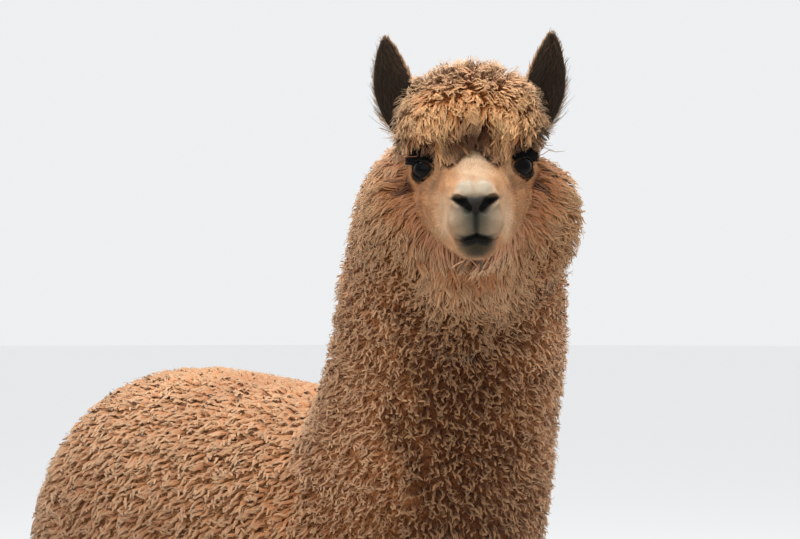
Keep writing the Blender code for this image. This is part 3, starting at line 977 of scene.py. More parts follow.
def lip_marks(q, front):
    """The dark line of the mouth with the edge of the lower lip, a painted shade in the mouth's gap, and
    the split of the upper lip.
    """
    from_line = np.minimum(mark_distance(q, MOUTH), mark_distance(q + (0, 0, 0.006), MOUTH))
    lips = front * (1 - soft_step(from_line, 0.0012, 0.0048))
    lips = lips * (1 - 0.85 * soft_step(abs(q[:, 0]), 0.010, 0.023))
    return lips, front * (1 - soft_step(mark_distance(q, PHILTRUM), 0.0006, 0.0065))


def skin_looks():
    """Colour, wetness and bareness of each point of the skin."""
    q, n = skin_q, head_normals(skin)
    front = (skin_part == SKULL) * (1 - soft_step(q[:, 1], -0.088, -0.078))
    nose_pad, nostril = nose_marks(q, front)
    lips, split = lip_marks(q, front)
    colours = markings(skin_points)
    colours = laid(colours, nose_pad, NOSE)
    colours = laid(colours, 0.65 * split, NOSE)
    # Painted shade inside the nostrils and in the gap of the mouth.
    colours = laid(colours, np.maximum(nostril, lips), OPENINGS_PAINTED_SHADE)
    ear = skin_part == EAR
    colours = laid(colours, ear * 0.75, EAR_EDGE)
    colours = laid(colours, ear * soft_step(ear_facing(q, n), 0.20, 0.65), EAR_DARK)
    rim = (skin_part == LIDS) * (1 - soft_step(beyond_opening(q), 5.0, 9.0))
    wet = np.maximum.reduce([nose_pad, nostril, lips, 0.3 * rim])
    bare = np.where(skin_part == BODY, 0.0, np.where(skin_part == SKULL, face_share(q), 1.0))
    return colours, wet, bare


skin_colours, skin_wet, skin_bare = skin_looks()
store(skin, "tint", skin_colours)
store(skin, "wet", skin_wet)
store(skin, "bare", skin_bare)
print("bare points of the skin:", int((skin_bare > 0.5).sum()))

# %% [markdown]
# ## Regions of the coat
#
# A real coat changes from place to place without a border. So no region is cut out: at each place the
# shares of the regions add up to 1, and every length, angle and width of a lock is blended by them.

# %% Regions of the coat
# A place on the slanting border of neck and trunk, and the way that leads from it into the neck.
NECK_BORDER = np.array([0, -0.225, 0.87])
INTO_NECK = np.array([0, -0.94, 0.34])


def head_regions(points):
    """The shares of face, crown, top and cheek."""
    q = into_head(points)
    face = face_share(q)
    above = (points - np.array(CUT_AT)) @ np.array(CUT_WAY) + 0.022 * ripple(points, 0.06, 3)
    left = (1 - face) * soft_step(above, -0.075, 0.030)
    brow = (abs(q[:, 0]) < 0.050) * (q[:, 1] < 0.0) * (q[:, 2] > -0.030)
    over_brow = soft_step(q[:, 2] - 0.016 * soft_step(q[:, 1], 0.0, 0.04), -0.005, 0.005)
    crown = left * np.maximum(over_brow, brow)
    top = crown * soft_step(q[:, 2], 0.050, 0.085)
    crown = crown - top
    front = 1 - soft_step(q[:, 1], 0.030, 0.085)
    hangs_to = q[:, 2] - 0.085 * soft_step(abs(q[:, 0]), 0.030, 0.095)
    cheek = (1 - face - crown - top) * front * soft_step(hangs_to, -0.235, -0.095)
    return face, crown, top, cheek


def shares_of_regions(points):
    """How much of each look there is at each point of the skin. They add up to 1."""
    face, crown, top, cheek = head_regions(points)
    left = 1 - face - crown - top - cheek
    foot = left * (1 - soft_step(points[:, 2], 0.080, 0.105))
    leg = (left - foot) * (1 - soft_step(points[:, 2], 0.34, 0.46))
    neck = (left - foot - leg) * soft_step((points - NECK_BORDER) @ INTO_NECK, -0.03, 0.04)
    return {"trunk": left - foot - leg - neck, "neck": neck, "leg": leg, "crown": crown, "top": top,
            "cheek": cheek, "face": face, "foot": foot}


def painted_shade_between_locks(points):
    """The painted shade between the locks: most in the middle of the neck, some on the cheeks, none on the
    trunk.
    """
    share = shares_of_regions(points)
    neck = share["neck"] * (0.35 + 0.65 * neck_middle(points, into_head(points)))
    return neck + 0.3 * share["cheek"]


store(skin, "deep", painted_shade_between_locks(skin_points))
for region, share in shares_of_regions(skin_points).items():
    print(region, "has", int((share > 0.5).sum()), "points of the skin")

# %% [markdown]
# ## Finish of the skin
#
# Under long wool the skin only shows between the locks. Plain colour would look like plastic there, so
# noise in curls breaks it into light and dark, as the wool below the outer locks does. It is also painted
# much darker than the locks, a painted shade in the depth between them, and darker still where the
# shade between the locks is deepest. On the face the skin is the finish itself: very short fur. Its
# streaks are noise that is drawn out along the lines leading away from the nose, the way real fur lies
# there, and they both tint the skin and raise it. On the feet the streaks simply run downwards.

# %% Helpers for materials
def node(tree, kind, **inputs):
    """A new node with some of its inputs set, named with _ in place of spaces."""
    made = tree.nodes.new(kind)
    for name, value in inputs.items():
        made.inputs[name.replace("_", " ")].default_value = value
    return made


def attribute_node(tree, name):
    made = tree.nodes.new("ShaderNodeAttribute")
    made.attribute_name = name
    return made


def mixed(tree, blend, share, first, second):
    """A colour mix. Each of share, first and second is a value or an output to link."""
    made = tree.nodes.new("ShaderNodeMix")
    made.data_type, made.blend_type, made.clamp_factor = "RGBA", blend, True
    for socket, value in ((0, share), (6, first), (7, second)):
        if isinstance(value, bpy.types.NodeSocket):
            tree.links.new(value, made.inputs[socket])
        else:
            made.inputs[socket].default_value = value if socket == 0 else (*value, 1)
    return made.outputs[2]


def ranged(tree, value, low, high, to_low, to_high):
    """A value's range mapped to another range."""
    made = tree.nodes.new("ShaderNodeMapRange")
    tree.links.new(value, made.inputs["Value"])
    for name, number in (("From Min", low), ("From Max", high), ("To Min", to_low), ("To Max", to_high)):
        made.inputs[name].default_value = number
    return made.outputs["Result"]


def noise_at(tree, scale, detail=3.0, stretch=None, distortion=0.0):
    """Noise over the piece's own coordinates, which stretch can make finer one way than another."""
    place = tree.nodes.new("ShaderNodeTexCoord").outputs["Object"]
    if stretch:
        mapping = tree.nodes.new("ShaderNodeMapping")
        mapping.inputs["Scale"].default_value = stretch
        tree.links.new(place, mapping.inputs["Vector"])
        place = mapping.outputs["Vector"]
    noise = node(tree, "ShaderNodeTexNoise", Scale=scale, Detail=detail, Distortion=distortion)
    tree.links.new(place, noise.inputs["Vector"])
    return noise.outputs["Fac"]


def height_of(tree):
    parts = tree.nodes.new("ShaderNodeSeparateXYZ")
    tree.links.new(tree.nodes.new("ShaderNodeTexCoord").outputs["Object"], parts.inputs[0])
    return parts.outputs["Z"]


def bumped(tree, shader, height, strength, distance):
    bump = node(tree, "ShaderNodeBump", Strength=strength, Distance=distance)
    tree.links.new(height, bump.inputs["Height"])
    tree.links.new(bump.outputs["Normal"], shader.inputs["Normal"])


# %% Fur streaks
def vector_math(tree, operation, first, second):
    made = tree.nodes.new("ShaderNodeVectorMath")
    made.operation = operation
    for socket, value in zip(made.inputs, (first, second)):
        if isinstance(value, bpy.types.NodeSocket):
            tree.links.new(value, socket)
        else:
            socket.default_value = value
    return made.outputs["Vector"]


def fur_streaks(tree, centre, fineness, shortness):
    """Noise drawn out along the lines that lead away from a place, as short fur lies round the nose."""
    place = tree.nodes.new("ShaderNodeTexCoord").outputs["Object"]
    arm = vector_math(tree, "SUBTRACT", place, tuple(centre))
    way = vector_math(tree, "MULTIPLY", vector_math(tree, "NORMALIZE", arm, (0, 0, 0)), (fineness,) * 3)
    drawn = vector_math(tree, "ADD", way, vector_math(tree, "MULTIPLY", arm, (shortness,) * 3))
    noise = node(tree, "ShaderNodeTexNoise", Scale=1.0, Detail=3.0)
    tree.links.new(drawn, noise.inputs["Vector"])
    return noise.outputs["Fac"]


# %% Skin finish
# Where the fur of the face starts from: between the nostrils.
FUR_CENTRE = np.array([0.0, -0.128, -0.052])


def skin_finish():
    material, tree, shader = new_material("short_fur", 0.7, Sheen_Weight=0.04, Sheen_Roughness=0.5)
    shader.inputs["Specular IOR Level"].default_value = 0.12
    shader.inputs["Sheen Tint"].default_value = (1.0, 0.86, 0.70, 1)
    tint = attribute_node(tree, "tint").outputs["Color"]
    wet = attribute_node(tree, "wet").outputs["Fac"]
    bare = attribute_node(tree, "bare").outputs["Fac"]
    face_fur = fur_streaks(tree, out_of_head(FUR_CENTRE), 75.0, 30.0)
    foot_fur = noise_at(tree, 1.0, 3.0, (520.0, 520.0, 90.0))
    on_feet = ranged(tree, height_of(tree), 0.15, 0.20, 1.0, 0.0)
    fur = mixed(tree, "MIX", on_feet, face_fur, foot_fur)
    curls = noise_at(tree, 150.0, 2.0, None, 1.6)
    patch = noise_at(tree, 55.0, 3.0)
    dark = mixed(tree, "MULTIPLY", ranged(tree, fur, 0.36, 0.60, 0.75, 0.0), tint, (0.62, 0.52, 0.43))
    colour = mixed(tree, "MULTIPLY", ranged(tree, patch, 0.38, 0.62, 0.60, 0.0), dark, (0.76, 0.66, 0.56))
    lit = ranged(tree, curls, 0.36, 0.62, 0.0, 1.0)
    # Painted shade: the skin between the locks is much darker than the wool.
    under = mixed(tree, "MIX", lit, (0.16, 0.09, 0.05), (0.62, 0.44, 0.30))
    under = mixed(tree, "MULTIPLY", 1.0, tint, under)
    # Darker still by the painted shade between the locks.
    under = mixed(tree, "MULTIPLY", attribute_node(tree, "deep").outputs["Fac"], under, (0.42, 0.38, 0.36))
    colour = mixed(tree, "MIX", bare, under, colour)
    tree.links.new(colour, shader.inputs["Base Color"])
    tree.links.new(ranged(tree, wet, 0, 1, 0.85, 0.52), shader.inputs["Roughness"])
    bumped(tree, shader, mixed(tree, "MIX", bare, curls, fur), 0.6, 0.0022)
    return material


add_piece("skin", skin, skin_finish(), "foot_skin", "head", "neck", "trunk", "tail", *LEGS, *FEET, *EARS)
print("skin finished with", skin.materials[0].name)

# %% [markdown]
# ## Finish of the eyes
#
# The iris is so dark a brown that the level bar of the pupil hardly shows in it. What makes the eye look
# alive is its wet gloss, so the roughness is low and the colours are nearly black.

# %% Eye finish
def eye_finish():
    material, tree, shader = new_material("wet_eye", 0.05, IOR=1.16)
    out_of_iris = attribute_node(tree, "iris").outputs["Fac"]
    speckle = ranged(tree, noise_at(tree, 1500.0, 3.0), 0.3, 0.7, 0.0, 1.0)
    iris = mixed(tree, "MIX", speckle, (0.001, 0.001, 0.001), (0.005, 0.003, 0.002))
    pupil = attribute_node(tree, "pupil").outputs["Fac"]
    colour = mixed(tree, "MIX", pupil, iris, (0.001, 0.001, 0.0012))
    colour = mixed(tree, "MIX", out_of_iris, colour, (0.006, 0.004, 0.003))
    tree.links.new(colour, shader.inputs["Base Color"])
    return material


def eye_looks(mesh):
    """How far each point is out of the iris, and whether it is in the level bar of the pupil."""
    way, _, angle = seen_from_eye(into_head(points_of(mesh)))
    bar = np.maximum(abs(way @ EYE_ACROSS) / 0.42, abs(way @ EYE_UP) / 0.20)
    return soft_step(angle, 40, 46), 1 - soft_step(bar, 0.9, 1.1)


for look, values in zip(("iris", "pupil"), eye_looks(eyeballs)):
    store(eyeballs, look, values)
add_piece("eyes", eyeballs, eye_finish(), "eye", *EYES)
print("eyes", len(eyeballs.polygons), "faces")

# %% [markdown]
# ## Locks of wool
#
# A coat is thousands of locks. Hair curves would be lost when the model is exported, so each lock is a
# thin closed tube with three sides that tapers to a point. All the locks of a region are worked out
# together as arrays. A lock starts at its root in the skin, rises at one angle and leans over to
# another, waves more and more towards its tip, and is drawn towards the middle of its clump.

# %% Looks of the coat, region by region
# Lengths in metres, angles in degrees. rise and rest are angles from the skin at the root and the tip,
# flat is thickness over width, bend how far the lock swings from side to side in each pitch of its
# length, hook how far its tip curls round, turn how far locks stray, and gap the space between roots.
STAPLES = {
    "trunk": dict(length=0.028, width=0.0066, flat=0.7, rise=50, rest=9, bend=50, pitch=0.022,
                  twist=0.4, hook=85, turn=30, droop=0.10, clump=0.38, gap=0.0106, steps=4),
    "neck": dict(length=0.025, width=0.0042, flat=0.8, rise=62, rest=20, bend=60, pitch=0.016,
                 twist=0.5, hook=100, turn=40, droop=0.15, clump=0.4, gap=0.0086, steps=5),
    "leg": dict(length=0.024, width=0.0075, flat=0.6, rise=44, rest=8, bend=30, pitch=0.018,
                twist=0.4, hook=20, turn=20, droop=0.10, clump=0.30, gap=0.0118, steps=4),
    "crown": dict(length=0.046, width=0.005, flat=0.50, rise=46, rest=6, bend=16, pitch=0.04,
                  twist=0.5, hook=15, turn=13, droop=0.25, clump=0.35, gap=0.0062, steps=4),
    "top": dict(length=0.036, width=0.005, flat=0.60, rise=60, rest=20, bend=22, pitch=0.036,
                twist=0.6, hook=25, turn=24, droop=0.10, clump=0.35, gap=0.006, steps=4),
    "cheek": dict(length=0.042, width=0.005, flat=0.50, rise=40, rest=5, bend=24, pitch=0.036,
                  twist=0.5, hook=15, turn=13, droop=0.45, clump=0.6, gap=0.0062, steps=5),
}
STRANDS = {
    "trunk": dict(length=0.031, width=0.0016, flat=0.7, rise=50, rest=14, bend=70, pitch=0.02,
                  twist=0.5, hook=80, turn=26, droop=0.10, clump=0.5, gap=0.0142, steps=5),
    "neck": dict(length=0.028, width=0.0012, flat=0.8, rise=66, rest=24, bend=75, pitch=0.0155,
                 twist=0.5, hook=110, turn=44, droop=0.15, clump=0.45, gap=0.0085, steps=6),
    "leg": dict(length=0.028, width=0.0014, flat=0.7, rise=46, rest=8, bend=44, pitch=0.016,
                twist=0.5, hook=30, turn=18, droop=0.10, clump=0.35, gap=0.0132, steps=5),
    "crown": dict(length=0.052, width=0.0011, flat=0.7, rise=50, rest=10, bend=40, pitch=0.03,
                  twist=0.6, hook=25, turn=12, droop=0.25, clump=0.38, gap=0.0031, steps=5),
    "top": dict(length=0.042, width=0.0011, flat=0.8, rise=64, rest=24, bend=34, pitch=0.03,
                twist=0.6, hook=40, turn=20, droop=0.10, clump=0.38, gap=0.0034, steps=5),
    "cheek": dict(length=0.046, width=0.0016, flat=0.7, rise=42, rest=5, bend=30, pitch=0.026,
                  twist=0.6, hook=30, turn=14, droop=0.45, clump=0.65, gap=0.0043, steps=8),
}
SHORT_FUR = {
    "face": dict(length=0.012, width=0.0009, flat=0.5, rise=18, rest=3, bend=8, pitch=0.010,
                 twist=0.5, hook=10, turn=14, droop=0.10, clump=0.3, gap=0.0024, steps=2),
    "foot": dict(length=0.010, width=0.0015, flat=0.5, rise=22, rest=4, bend=8, pitch=0.010,
                 twist=0.5, hook=10, turn=14, droop=0.10, clump=0.15, gap=0.0095, steps=3),
}
LAYERS = {"staples": STAPLES, "strands": STRANDS, "fur": SHORT_FUR}


def blended(looks, share, key, own):
    """One value for each root: the mean over the regions, by how much of each there is."""
    total = sum(share[region] for region in looks) + 1e-3
    return (sum(share[region] * looks[region][key] for region in looks) + 1e-3 * looks[own][key]) / total


print(sum(len(looks) for looks in LAYERS.values()), "kinds of lock")

# %% [markdown]
# ## Which way the coat lies
#
# Wool hangs: straight down on the neck and the legs, and from the spine down to both sides on the trunk.
# On the crown it falls forwards over the brow, and the fur of the face lies away from the nose. Each
# region has such a rule, and the rules are blended by the shares of the regions. What points out of the
# skin is then taken away, so that the way lies flat on it.

# %% Which way the coat lies
def lie_of_coat(points, normals, share):
    """The way the locks lean, along the skin. Each region has its own simple rule."""
    q = into_head(points)
    side = np.sign(q[:, :1])
    low = soft_step(-q[:, 2:3], 0.030, 0.130)
    count = len(points)
    ways = {
        "trunk": np.stack([points[:, 0] * 2.5, np.full(count, 0.16), np.full(count, -1.0)], axis=1),
        "neck": np.tile((0.0, 0.10, -1.0), (count, 1)),
        "leg": np.tile((0.0, 0.12, -1.0), (count, 1)),
        "foot": np.tile((0.0, -0.25, -1.0), (count, 1)),
        "crown": head_way(unit(q - (0, 0.110, 0.085)) + (0, 0, -0.15)),
        "top": head_way(unit(q * (1, 1, 0) - (0, 0.110, 0))),
        "cheek": head_way(side * (1.0, 0, 0) * (1 - 0.85 * low) + (0, 0.45, -0.40) - low * (0, 0.35, 0.8)),
        "face": head_way(unit(q - (0, -0.150, -0.050))),
    }
    way = sum(share[region][:, None] * unit(ways[region]) for region in share)
    way = way - (way * normals).sum(1, keepdims=True) * normals
    return unit(way)


# %% [markdown]
# ## Roots of the locks
#
# Wool grows evenly out of the skin. Places picked by chance alone would crowd here and leave bald spots
# there. So many more are picked than are needed, by the area of each triangle, and those that stand too
# near another are dropped.

# %% Roots of the locks
# More tries than roots are needed, because those that fall too near another are dropped.
TRIES = 5
# Primes that turn a cell of a grid into one number.
CELL_PRIMES = np.array([73856093, 19349663, 83492791])


def cell_numbers(points, size):
    """The number of the cell of a grid that each point is in."""
    return np.floor(points / size).astype(np.int64) @ CELL_PRIMES


def thinned(roots, apart):
    """True for the roots that stay so that no two are nearer than apart."""
    tree = KDTree(len(roots))
    for number, root in enumerate(roots):
        tree.insert(root, number)
    tree.balance()
    alive = np.ones(len(roots), bool)
    for number in range(len(roots)):
        if alive[number]:
            for _, other, _ in tree.find_range(roots[number], apart):
                if other > number:
                    alive[other] = False
    return alive


def scattered(mesh, wanted, gap, rng):
    """Evenly spread roots on the triangles, each with its skin normal. wanted is a share per triangle."""
    points, normals, corners = points_of(mesh), normals_of(mesh), triangles_of(mesh)
    a, b, c = (points[corners[:, k]] for k in range(3))
    area = np.linalg.norm(np.cross(b - a, c - a), axis=1) / 2 * wanted
    tries = int(area.sum() / gap**2 * TRIES)
    chosen = np.searchsorted(np.cumsum(area), rng.uniform(0, area.sum(), tries))
    u, v = rng.uniform(size=(2, tries, 1))
    u, v = np.where(u + v > 1, 1 - u, u), np.where(u + v > 1, 1 - v, v)
    weights = (1 - u - v, u, v)
    roots = sum(w * points[corners[chosen, k]] for k, w in enumerate(weights))
    grown = unit(sum(w * normals[corners[chosen, k]] for k, w in enumerate(weights)))
    kept = np.unique(cell_numbers(roots, gap * 0.95), return_index=True)[1]
    roots, grown = roots[kept], grown[kept]
    alive = thinned(roots, gap * 0.55)
    return roots[alive], grown[alive]


# %% [markdown]
# ## Clumps
#
# Crimped wool holds together in clumps: neighbouring locks wave together and share one tip. So the skin
# is divided by a warped grid into cells, every lock takes most of its waves from its cell, and its tip
# is drawn towards the mean line of the cell. The last step of a lock is short, which leaves it a
# rounded tip.

# %% Middle lines of the locks
# How far below the skin a lock starts.
ROOT_SUNK = 0.0015
# The last step is short, so that a lock ends in a rounded tip and not in a spike.
BLUNT = 0.93


def clumps_of(roots, size):
    """The number of the clump that each root is in: the cells of a warped grid."""
    warp = np.stack([ripple(roots, size * 2.5, 7 + axis) for axis in range(3)], axis=1) * size * 0.4
    return cell_numbers(roots + warp, size)


def chance(clump, kind):
    """A repeatable random value from 0 to 1 for each clump, and another for each kind."""
    return np.modf(abs(np.sin(clump % 100003 * 12.9898 + kind * 78.233)) * 43758.5453)[0]


def lock_lines(roots, normals, way, look, steps, clump, rng):
    """The middle line of each lock, as (locks, steps + 1, 3), and how far along each point is."""
    count = len(roots)
    # The stretch in the depth of the coat hardly shows, so it gets one long step.
    along = np.concatenate([[0], np.linspace(0.34, BLUNT, steps - 1), [1]])
    side = np.cross(normals, way)
    # Locks of one clump wave together, as real wool does.
    stray = (chance(clump, 1) - 0.5) * 2.6 + 0.4 * rng.normal(size=count) + 0.7 * ripple(roots, 0.045, 5)
    stray = look["turn"] * stray
    length = look["length"] * (0.82 + 0.24 * chance(clump, 2) + rng.uniform(-0.06, 0.08, count))
    start = 2 * math.pi * chance(clump, 3) + 0.35 * rng.normal(size=count)
    bend = look["bend"] * (0.65 + 0.6 * chance(clump, 4))
    hook = look["hook"] * np.sign(chance(clump, 5) - 0.5) * (0.4 + 0.8 * chance(clump, 6))
    line = [roots - normals * ROOT_SUNK]
    for first, last in zip(along, along[1:]):
        at = (first + last) / 2
        swing = start + 2 * math.pi * at * look["length"] / look["pitch"]
        grows = float(soft_step(at, 0.10, 0.45))
        heading = np.radians(stray + grows * bend * np.sin(swing) + hook * at**3)[:, None]
        lift = look["rise"] + (look["rest"] - look["rise"]) * at**0.9
        lift = np.radians(lift + grows * bend * look["twist"] * np.cos(swing))[:, None]
        leaning = np.cos(heading) * way + np.sin(heading) * side
        leaning = unit(leaning - (look["droop"] * at)[:, None] * np.array([0, 0, 1.0]))
        step = unit(np.cos(lift) * leaning + np.sin(lift) * normals)
        line.append(line[-1] + step * (length * (last - first))[:, None])
    return np.stack(line, axis=1), along


def clumped(line, along, share, clump):
    """Tips are drawn towards the mean line of their clump, the more the nearer the tip."""
    _, clump, count = np.unique(clump, return_inverse=True, return_counts=True)
    mean = np.stack([np.bincount(clump, column) for column in line.reshape(len(line), -1).T], axis=1)
    mean = (mean / count[:, None]).reshape(-1, *line.shape[1:])
    pull = share[:, None] * along[None, :] ** 1.5
    return line + (mean[clump] - line) * pull[:, :, None]


# %% [markdown]
# ## The mesh of the locks
#
# A lock is a tube with three sides. Lit as a hard rod it would look like plastic, but a real tuft of
# fine fibres scatters light as the surface below it does. So the normals that the light sees are mixed
# from the tube's own and the skin's below it, and the skin's share is the softness.

# %% Faces of a lock
SIDES = 3


def lock_faces(steps):
    """The corners of one lock's faces one after another, and how many corners each face has."""
    ring, corner = np.meshgrid(np.arange(steps - 1), np.arange(SIDES), indexing="ij")
    ahead = (corner + 1) % SIDES
    quads = np.stack([ring * SIDES + corner, ring * SIDES + ahead, (ring + 1) * SIDES + ahead,
                      (ring + 1) * SIDES + corner], axis=-1).reshape(-1, 4)
    last, tip = (steps - 1) * SIDES, steps * SIDES
    tips = np.array([[last + k, last + (k + 1) % SIDES, tip] for k in range(SIDES)])
    loops = np.concatenate([quads.ravel(), tips.ravel(), np.arange(SIDES)[::-1]])
    return loops, np.array([4] * len(quads) + [3] * (SIDES + 1))


def repeated_mesh(name, verts, loops, sizes):
    """A mesh of many locks. verts is (locks, points, 3), and all the locks have the same faces."""
    count, per_lock = verts.shape[:2]
    number = np.arange(count)[:, None]
    starts = np.concatenate([[0], np.cumsum(sizes)[:-1]])
    mesh = bpy.data.meshes.new(name)
    mesh.vertices.add(count * per_lock)
    mesh.vertices.foreach_set("co", verts.astype(np.float32).ravel())
    mesh.loops.add(count * len(loops))
    mesh.loops.foreach_set("vertex_index", (number * per_lock + loops).astype(np.int32).ravel())
    mesh.polygons.add(count * len(sizes))
    mesh.polygons.foreach_set("loop_start", (number * len(loops) + starts).astype(np.int32).ravel())
    mesh.update(calc_edges=True)
    mesh.polygons.foreach_set("use_smooth", np.ones(len(mesh.polygons), bool))
    return mesh


print("a lock of four steps has", len(lock_faces(4)[1]), "faces")

# %% A mesh of locks
SOFTNESS = 0.68
# The side of a lock's own patch on the OFBake map, which lies at its root's place on the skin's unwrap.
PATCH = 0.003


def lock_mesh(name, line, along, normals, look, unwrap, shade, deep, colours):
    """Closed three-sided tubes round the lines, with their attributes and their OFBake patches."""
    count, steps = len(line), line.shape[1] - 1
    tangent = unit(np.gradient(line, axis=1))
    side = unit(np.cross(tangent, normals[:, None, :]))
    up = np.cross(side, tangent)
    girth = np.interp(along, [0, 0.34, 0.70, BLUNT, 1], [0.75, 1.0, 0.85, 0.42, 0.2])[None, :, None]
    half = look["width"][:, None, None] / 2 * girth
    rings = []
    for corner in range(SIDES):
        angle = math.pi / 2 - 2 * math.pi * corner / SIDES
        out = side * math.cos(angle) + up * (math.sin(angle) * look["flat"][:, None, None])
        rings.append(line + out * half)
    rings = np.stack(rings, axis=2)[:, :steps]
    verts = np.concatenate([rings.reshape(count, -1, 3), line[:, -1:]], axis=1)
    per_lock = verts.shape[1]
    loops, sizes = lock_faces(steps)
    mesh = repeated_mesh(name, verts, loops, sizes)
    middles = line[:, np.minimum(np.arange(per_lock) // SIDES, steps)]
    outward = unit(verts - middles + tangent[:, -1:] * 1e-6)
    outward[:, -1] = tangent[:, -1]
    shown = unit(outward * (1 - SOFTNESS) + normals[:, None, :] * SOFTNESS)
    mesh.normals_split_custom_set_from_vertices(shown.reshape(-1, 3))
    at = np.concatenate([np.repeat(along[:steps], SIDES), [1.0]])
    across = np.concatenate([np.tile(np.arange(SIDES) / SIDES, steps), [0.5]])
    store(mesh, "along", np.tile(at, count))
    store(mesh, "across", np.tile(across, count))
    store(mesh, "shade", np.repeat(shade, per_lock))
    store(mesh, "deep", np.repeat(deep, per_lock))
    store(mesh, "tint", np.repeat(colours, per_lock, axis=0))
    patch = np.stack([across - 0.5, at - 0.5], axis=1) * PATCH
    places = np.clip((unwrap[:, None, :] + patch[None, :, :])[:, loops], 0, 1)
    mesh.uv_layers.new(name="OFBake").data.foreach_set("uv", places.astype(np.float32).ravel())
    return mesh


# %% [markdown]
# ## Finish of the wool
#
# A lock is darker and warmer at its root, where little light reaches, and paler at its tip, where the
# sun has bleached it. Fine streaks run along it, as the single fibres do. All of this reads values
# stored on the locks themselves, so the pattern follows every curl. Between the locks of the neck and
# the cheeks the roots are darker still, a painted shade between the locks that is deepest in the middle
# of the neck.

# %% Wool finish
# The noise in a finish of locks: how often it changes along a lock, how many crimps there are and how
# far they swing, and how far apart the patterns of two locks are.
STREAK_LENGTHS = 3.0
CRIMPS = 60.0
CRIMP_SWING = 0.30
LOCKS_APART = 500.0


def streaks_of(tree, along, shade, streak_scale):
    """Noise in crimped lines along each lock."""
    place = tree.nodes.new("ShaderNodeCombineXYZ")
    tree.links.new(ranged(tree, along, 0, 1, 0, STREAK_LENGTHS), place.inputs["X"])
    crimp = tree.nodes.new("ShaderNodeMath")
    crimp.operation = "SINE"
    tree.links.new(ranged(tree, along, 0, 1, 0, CRIMPS), crimp.inputs[0])
    across = ranged(tree, attribute_node(tree, "across").outputs["Fac"], 0, 1, 0, streak_scale)
    wavy = tree.nodes.new("ShaderNodeMath")
    wavy.operation = "MULTIPLY_ADD"
    wavy.inputs[1].default_value = CRIMP_SWING
    tree.links.new(crimp.outputs[0], wavy.inputs[0])
    tree.links.new(across, wavy.inputs[2])
    tree.links.new(wavy.outputs[0], place.inputs["Y"])
    tree.links.new(ranged(tree, shade, 0, 1, 0, LOCKS_APART), place.inputs["Z"])
    streak = node(tree, "ShaderNodeTexNoise", Scale=1.0, Detail=3.0)
    tree.links.new(place.outputs["Vector"], streak.inputs["Vector"])
    return streak.outputs["Fac"]


def wool_finish(name, root_shade, tip_shade, streak_scale, contrast, sheen=0.30):
    material, tree, shader = new_material(name, 0.85, Sheen_Weight=sheen, Sheen_Roughness=0.6)
    shader.inputs["Sheen Tint"].default_value = (1.0, 0.80, 0.62, 1)
    shader.inputs["Specular IOR Level"].default_value = 0.12
    tint = attribute_node(tree, "tint").outputs["Color"]
    along = attribute_node(tree, "along").outputs["Fac"]
    shade = attribute_node(tree, "shade").outputs["Fac"]
    streak = streaks_of(tree, along, shade, streak_scale)
    root = mixed(tree, "MULTIPLY", 1.0, tint, root_shade)
    # Painted shade between the locks darkens the roots further.
    root = mixed(tree, "MULTIPLY", attribute_node(tree, "deep").outputs["Fac"], root, (0.24, 0.21, 0.20))
    tip = mixed(tree, "MULTIPLY", 1.0, tint, tip_shade)
    colour = mixed(tree, "MIX", ranged(tree, along, 0.30, 0.98, 0.0, 1.0), root, tip)
    dull = ranged(tree, shade, 0.0, 1.0, 0.7 * contrast, 0.0)
    colour = mixed(tree, "MULTIPLY", dull, colour, (0.62, 0.54, 0.46))
    streaked = ranged(tree, streak, 0.38, 0.60, contrast, 0.0)
    colour = mixed(tree, "MULTIPLY", streaked, colour, (0.50, 0.40, 0.31))
    tree.links.new(colour, shader.inputs["Base Color"])
    bumped(tree, shader, streak, 0.8, 0.0016)
    return material


FINISHES = {
    "staples": wool_finish("wool_staples", (0.86, 0.56, 0.35), (0.95, 1.00, 1.06), 9.0, 0.45),
    "strands": wool_finish("wool_strands", (0.88, 0.62, 0.43), (0.99, 1.14, 1.31), 2.0, 0.42),
    "fur": wool_finish("fine_fur", (0.86, 0.80, 0.74), (1.14, 1.16, 1.20), 1.0, 0.40, sheen=0.08),
    "lash": wool_finish("lash", (1.0, 1.0, 1.0), (1.0, 1.0, 1.0), 1.0, 0.0, sheen=0.0),
}
print("finishes:", [finish.name for finish in FINISHES.values()])

# %% [markdown]
# ## Places on the bake map
#
# When the finish is baked, each lock takes its colours from a small patch of its own on a flat map. The
# patch lies where the lock's root is on an unwrap of its region: round the region's middle line one
# way, and along it the other. Locks that grow side by side then lie side by side on the map too.

# %% Places on the bake map
# The left and right legs stand this far out, and the front and hind legs are parted at LEG_PARTING.
LEG_ASIDE = 0.105
LEG_PARTING = 0.08


def unwrapped(roots, region):
    """A place from 0 to 1 each way for each root: round the region's own middle line, and along it."""
    if region in ("crown", "top", "cheek", "face"):
        q = into_head(roots) - (0, -0.010, -0.030)
        turn = np.arctan2(q[:, 0], -q[:, 1])
        height = q[:, 2]
    elif region == "trunk":
        turn = np.arctan2(roots[:, 0], roots[:, 2] - 0.70)
        height = roots[:, 1]
    else:
        legs = roots[:, 2] < 0.50
        behind = roots[:, 1] > LEG_PARTING
        middle_x = np.where(legs, np.sign(roots[:, 0]) * LEG_ASIDE, -0.02)
        middle_y = np.where(legs, np.where(behind, 0.42, -0.2), -0.36)
        turn = np.arctan2(roots[:, 0] - middle_x, middle_y - roots[:, 1])
        height = roots[:, 2]
        if region in ("leg", "foot"):
            leg = 2 * (roots[:, 0] > 0) + behind
            turn = (turn / (2 * math.pi) + 0.5 + leg) / 4 * 2 * math.pi - math.pi
    share = (height - height.min()) / max(np.ptp(height), 1e-6)
    return np.stack([0.01 + 0.98 * (turn / (2 * math.pi) + 0.5), 0.01 + 0.98 * share], axis=1)


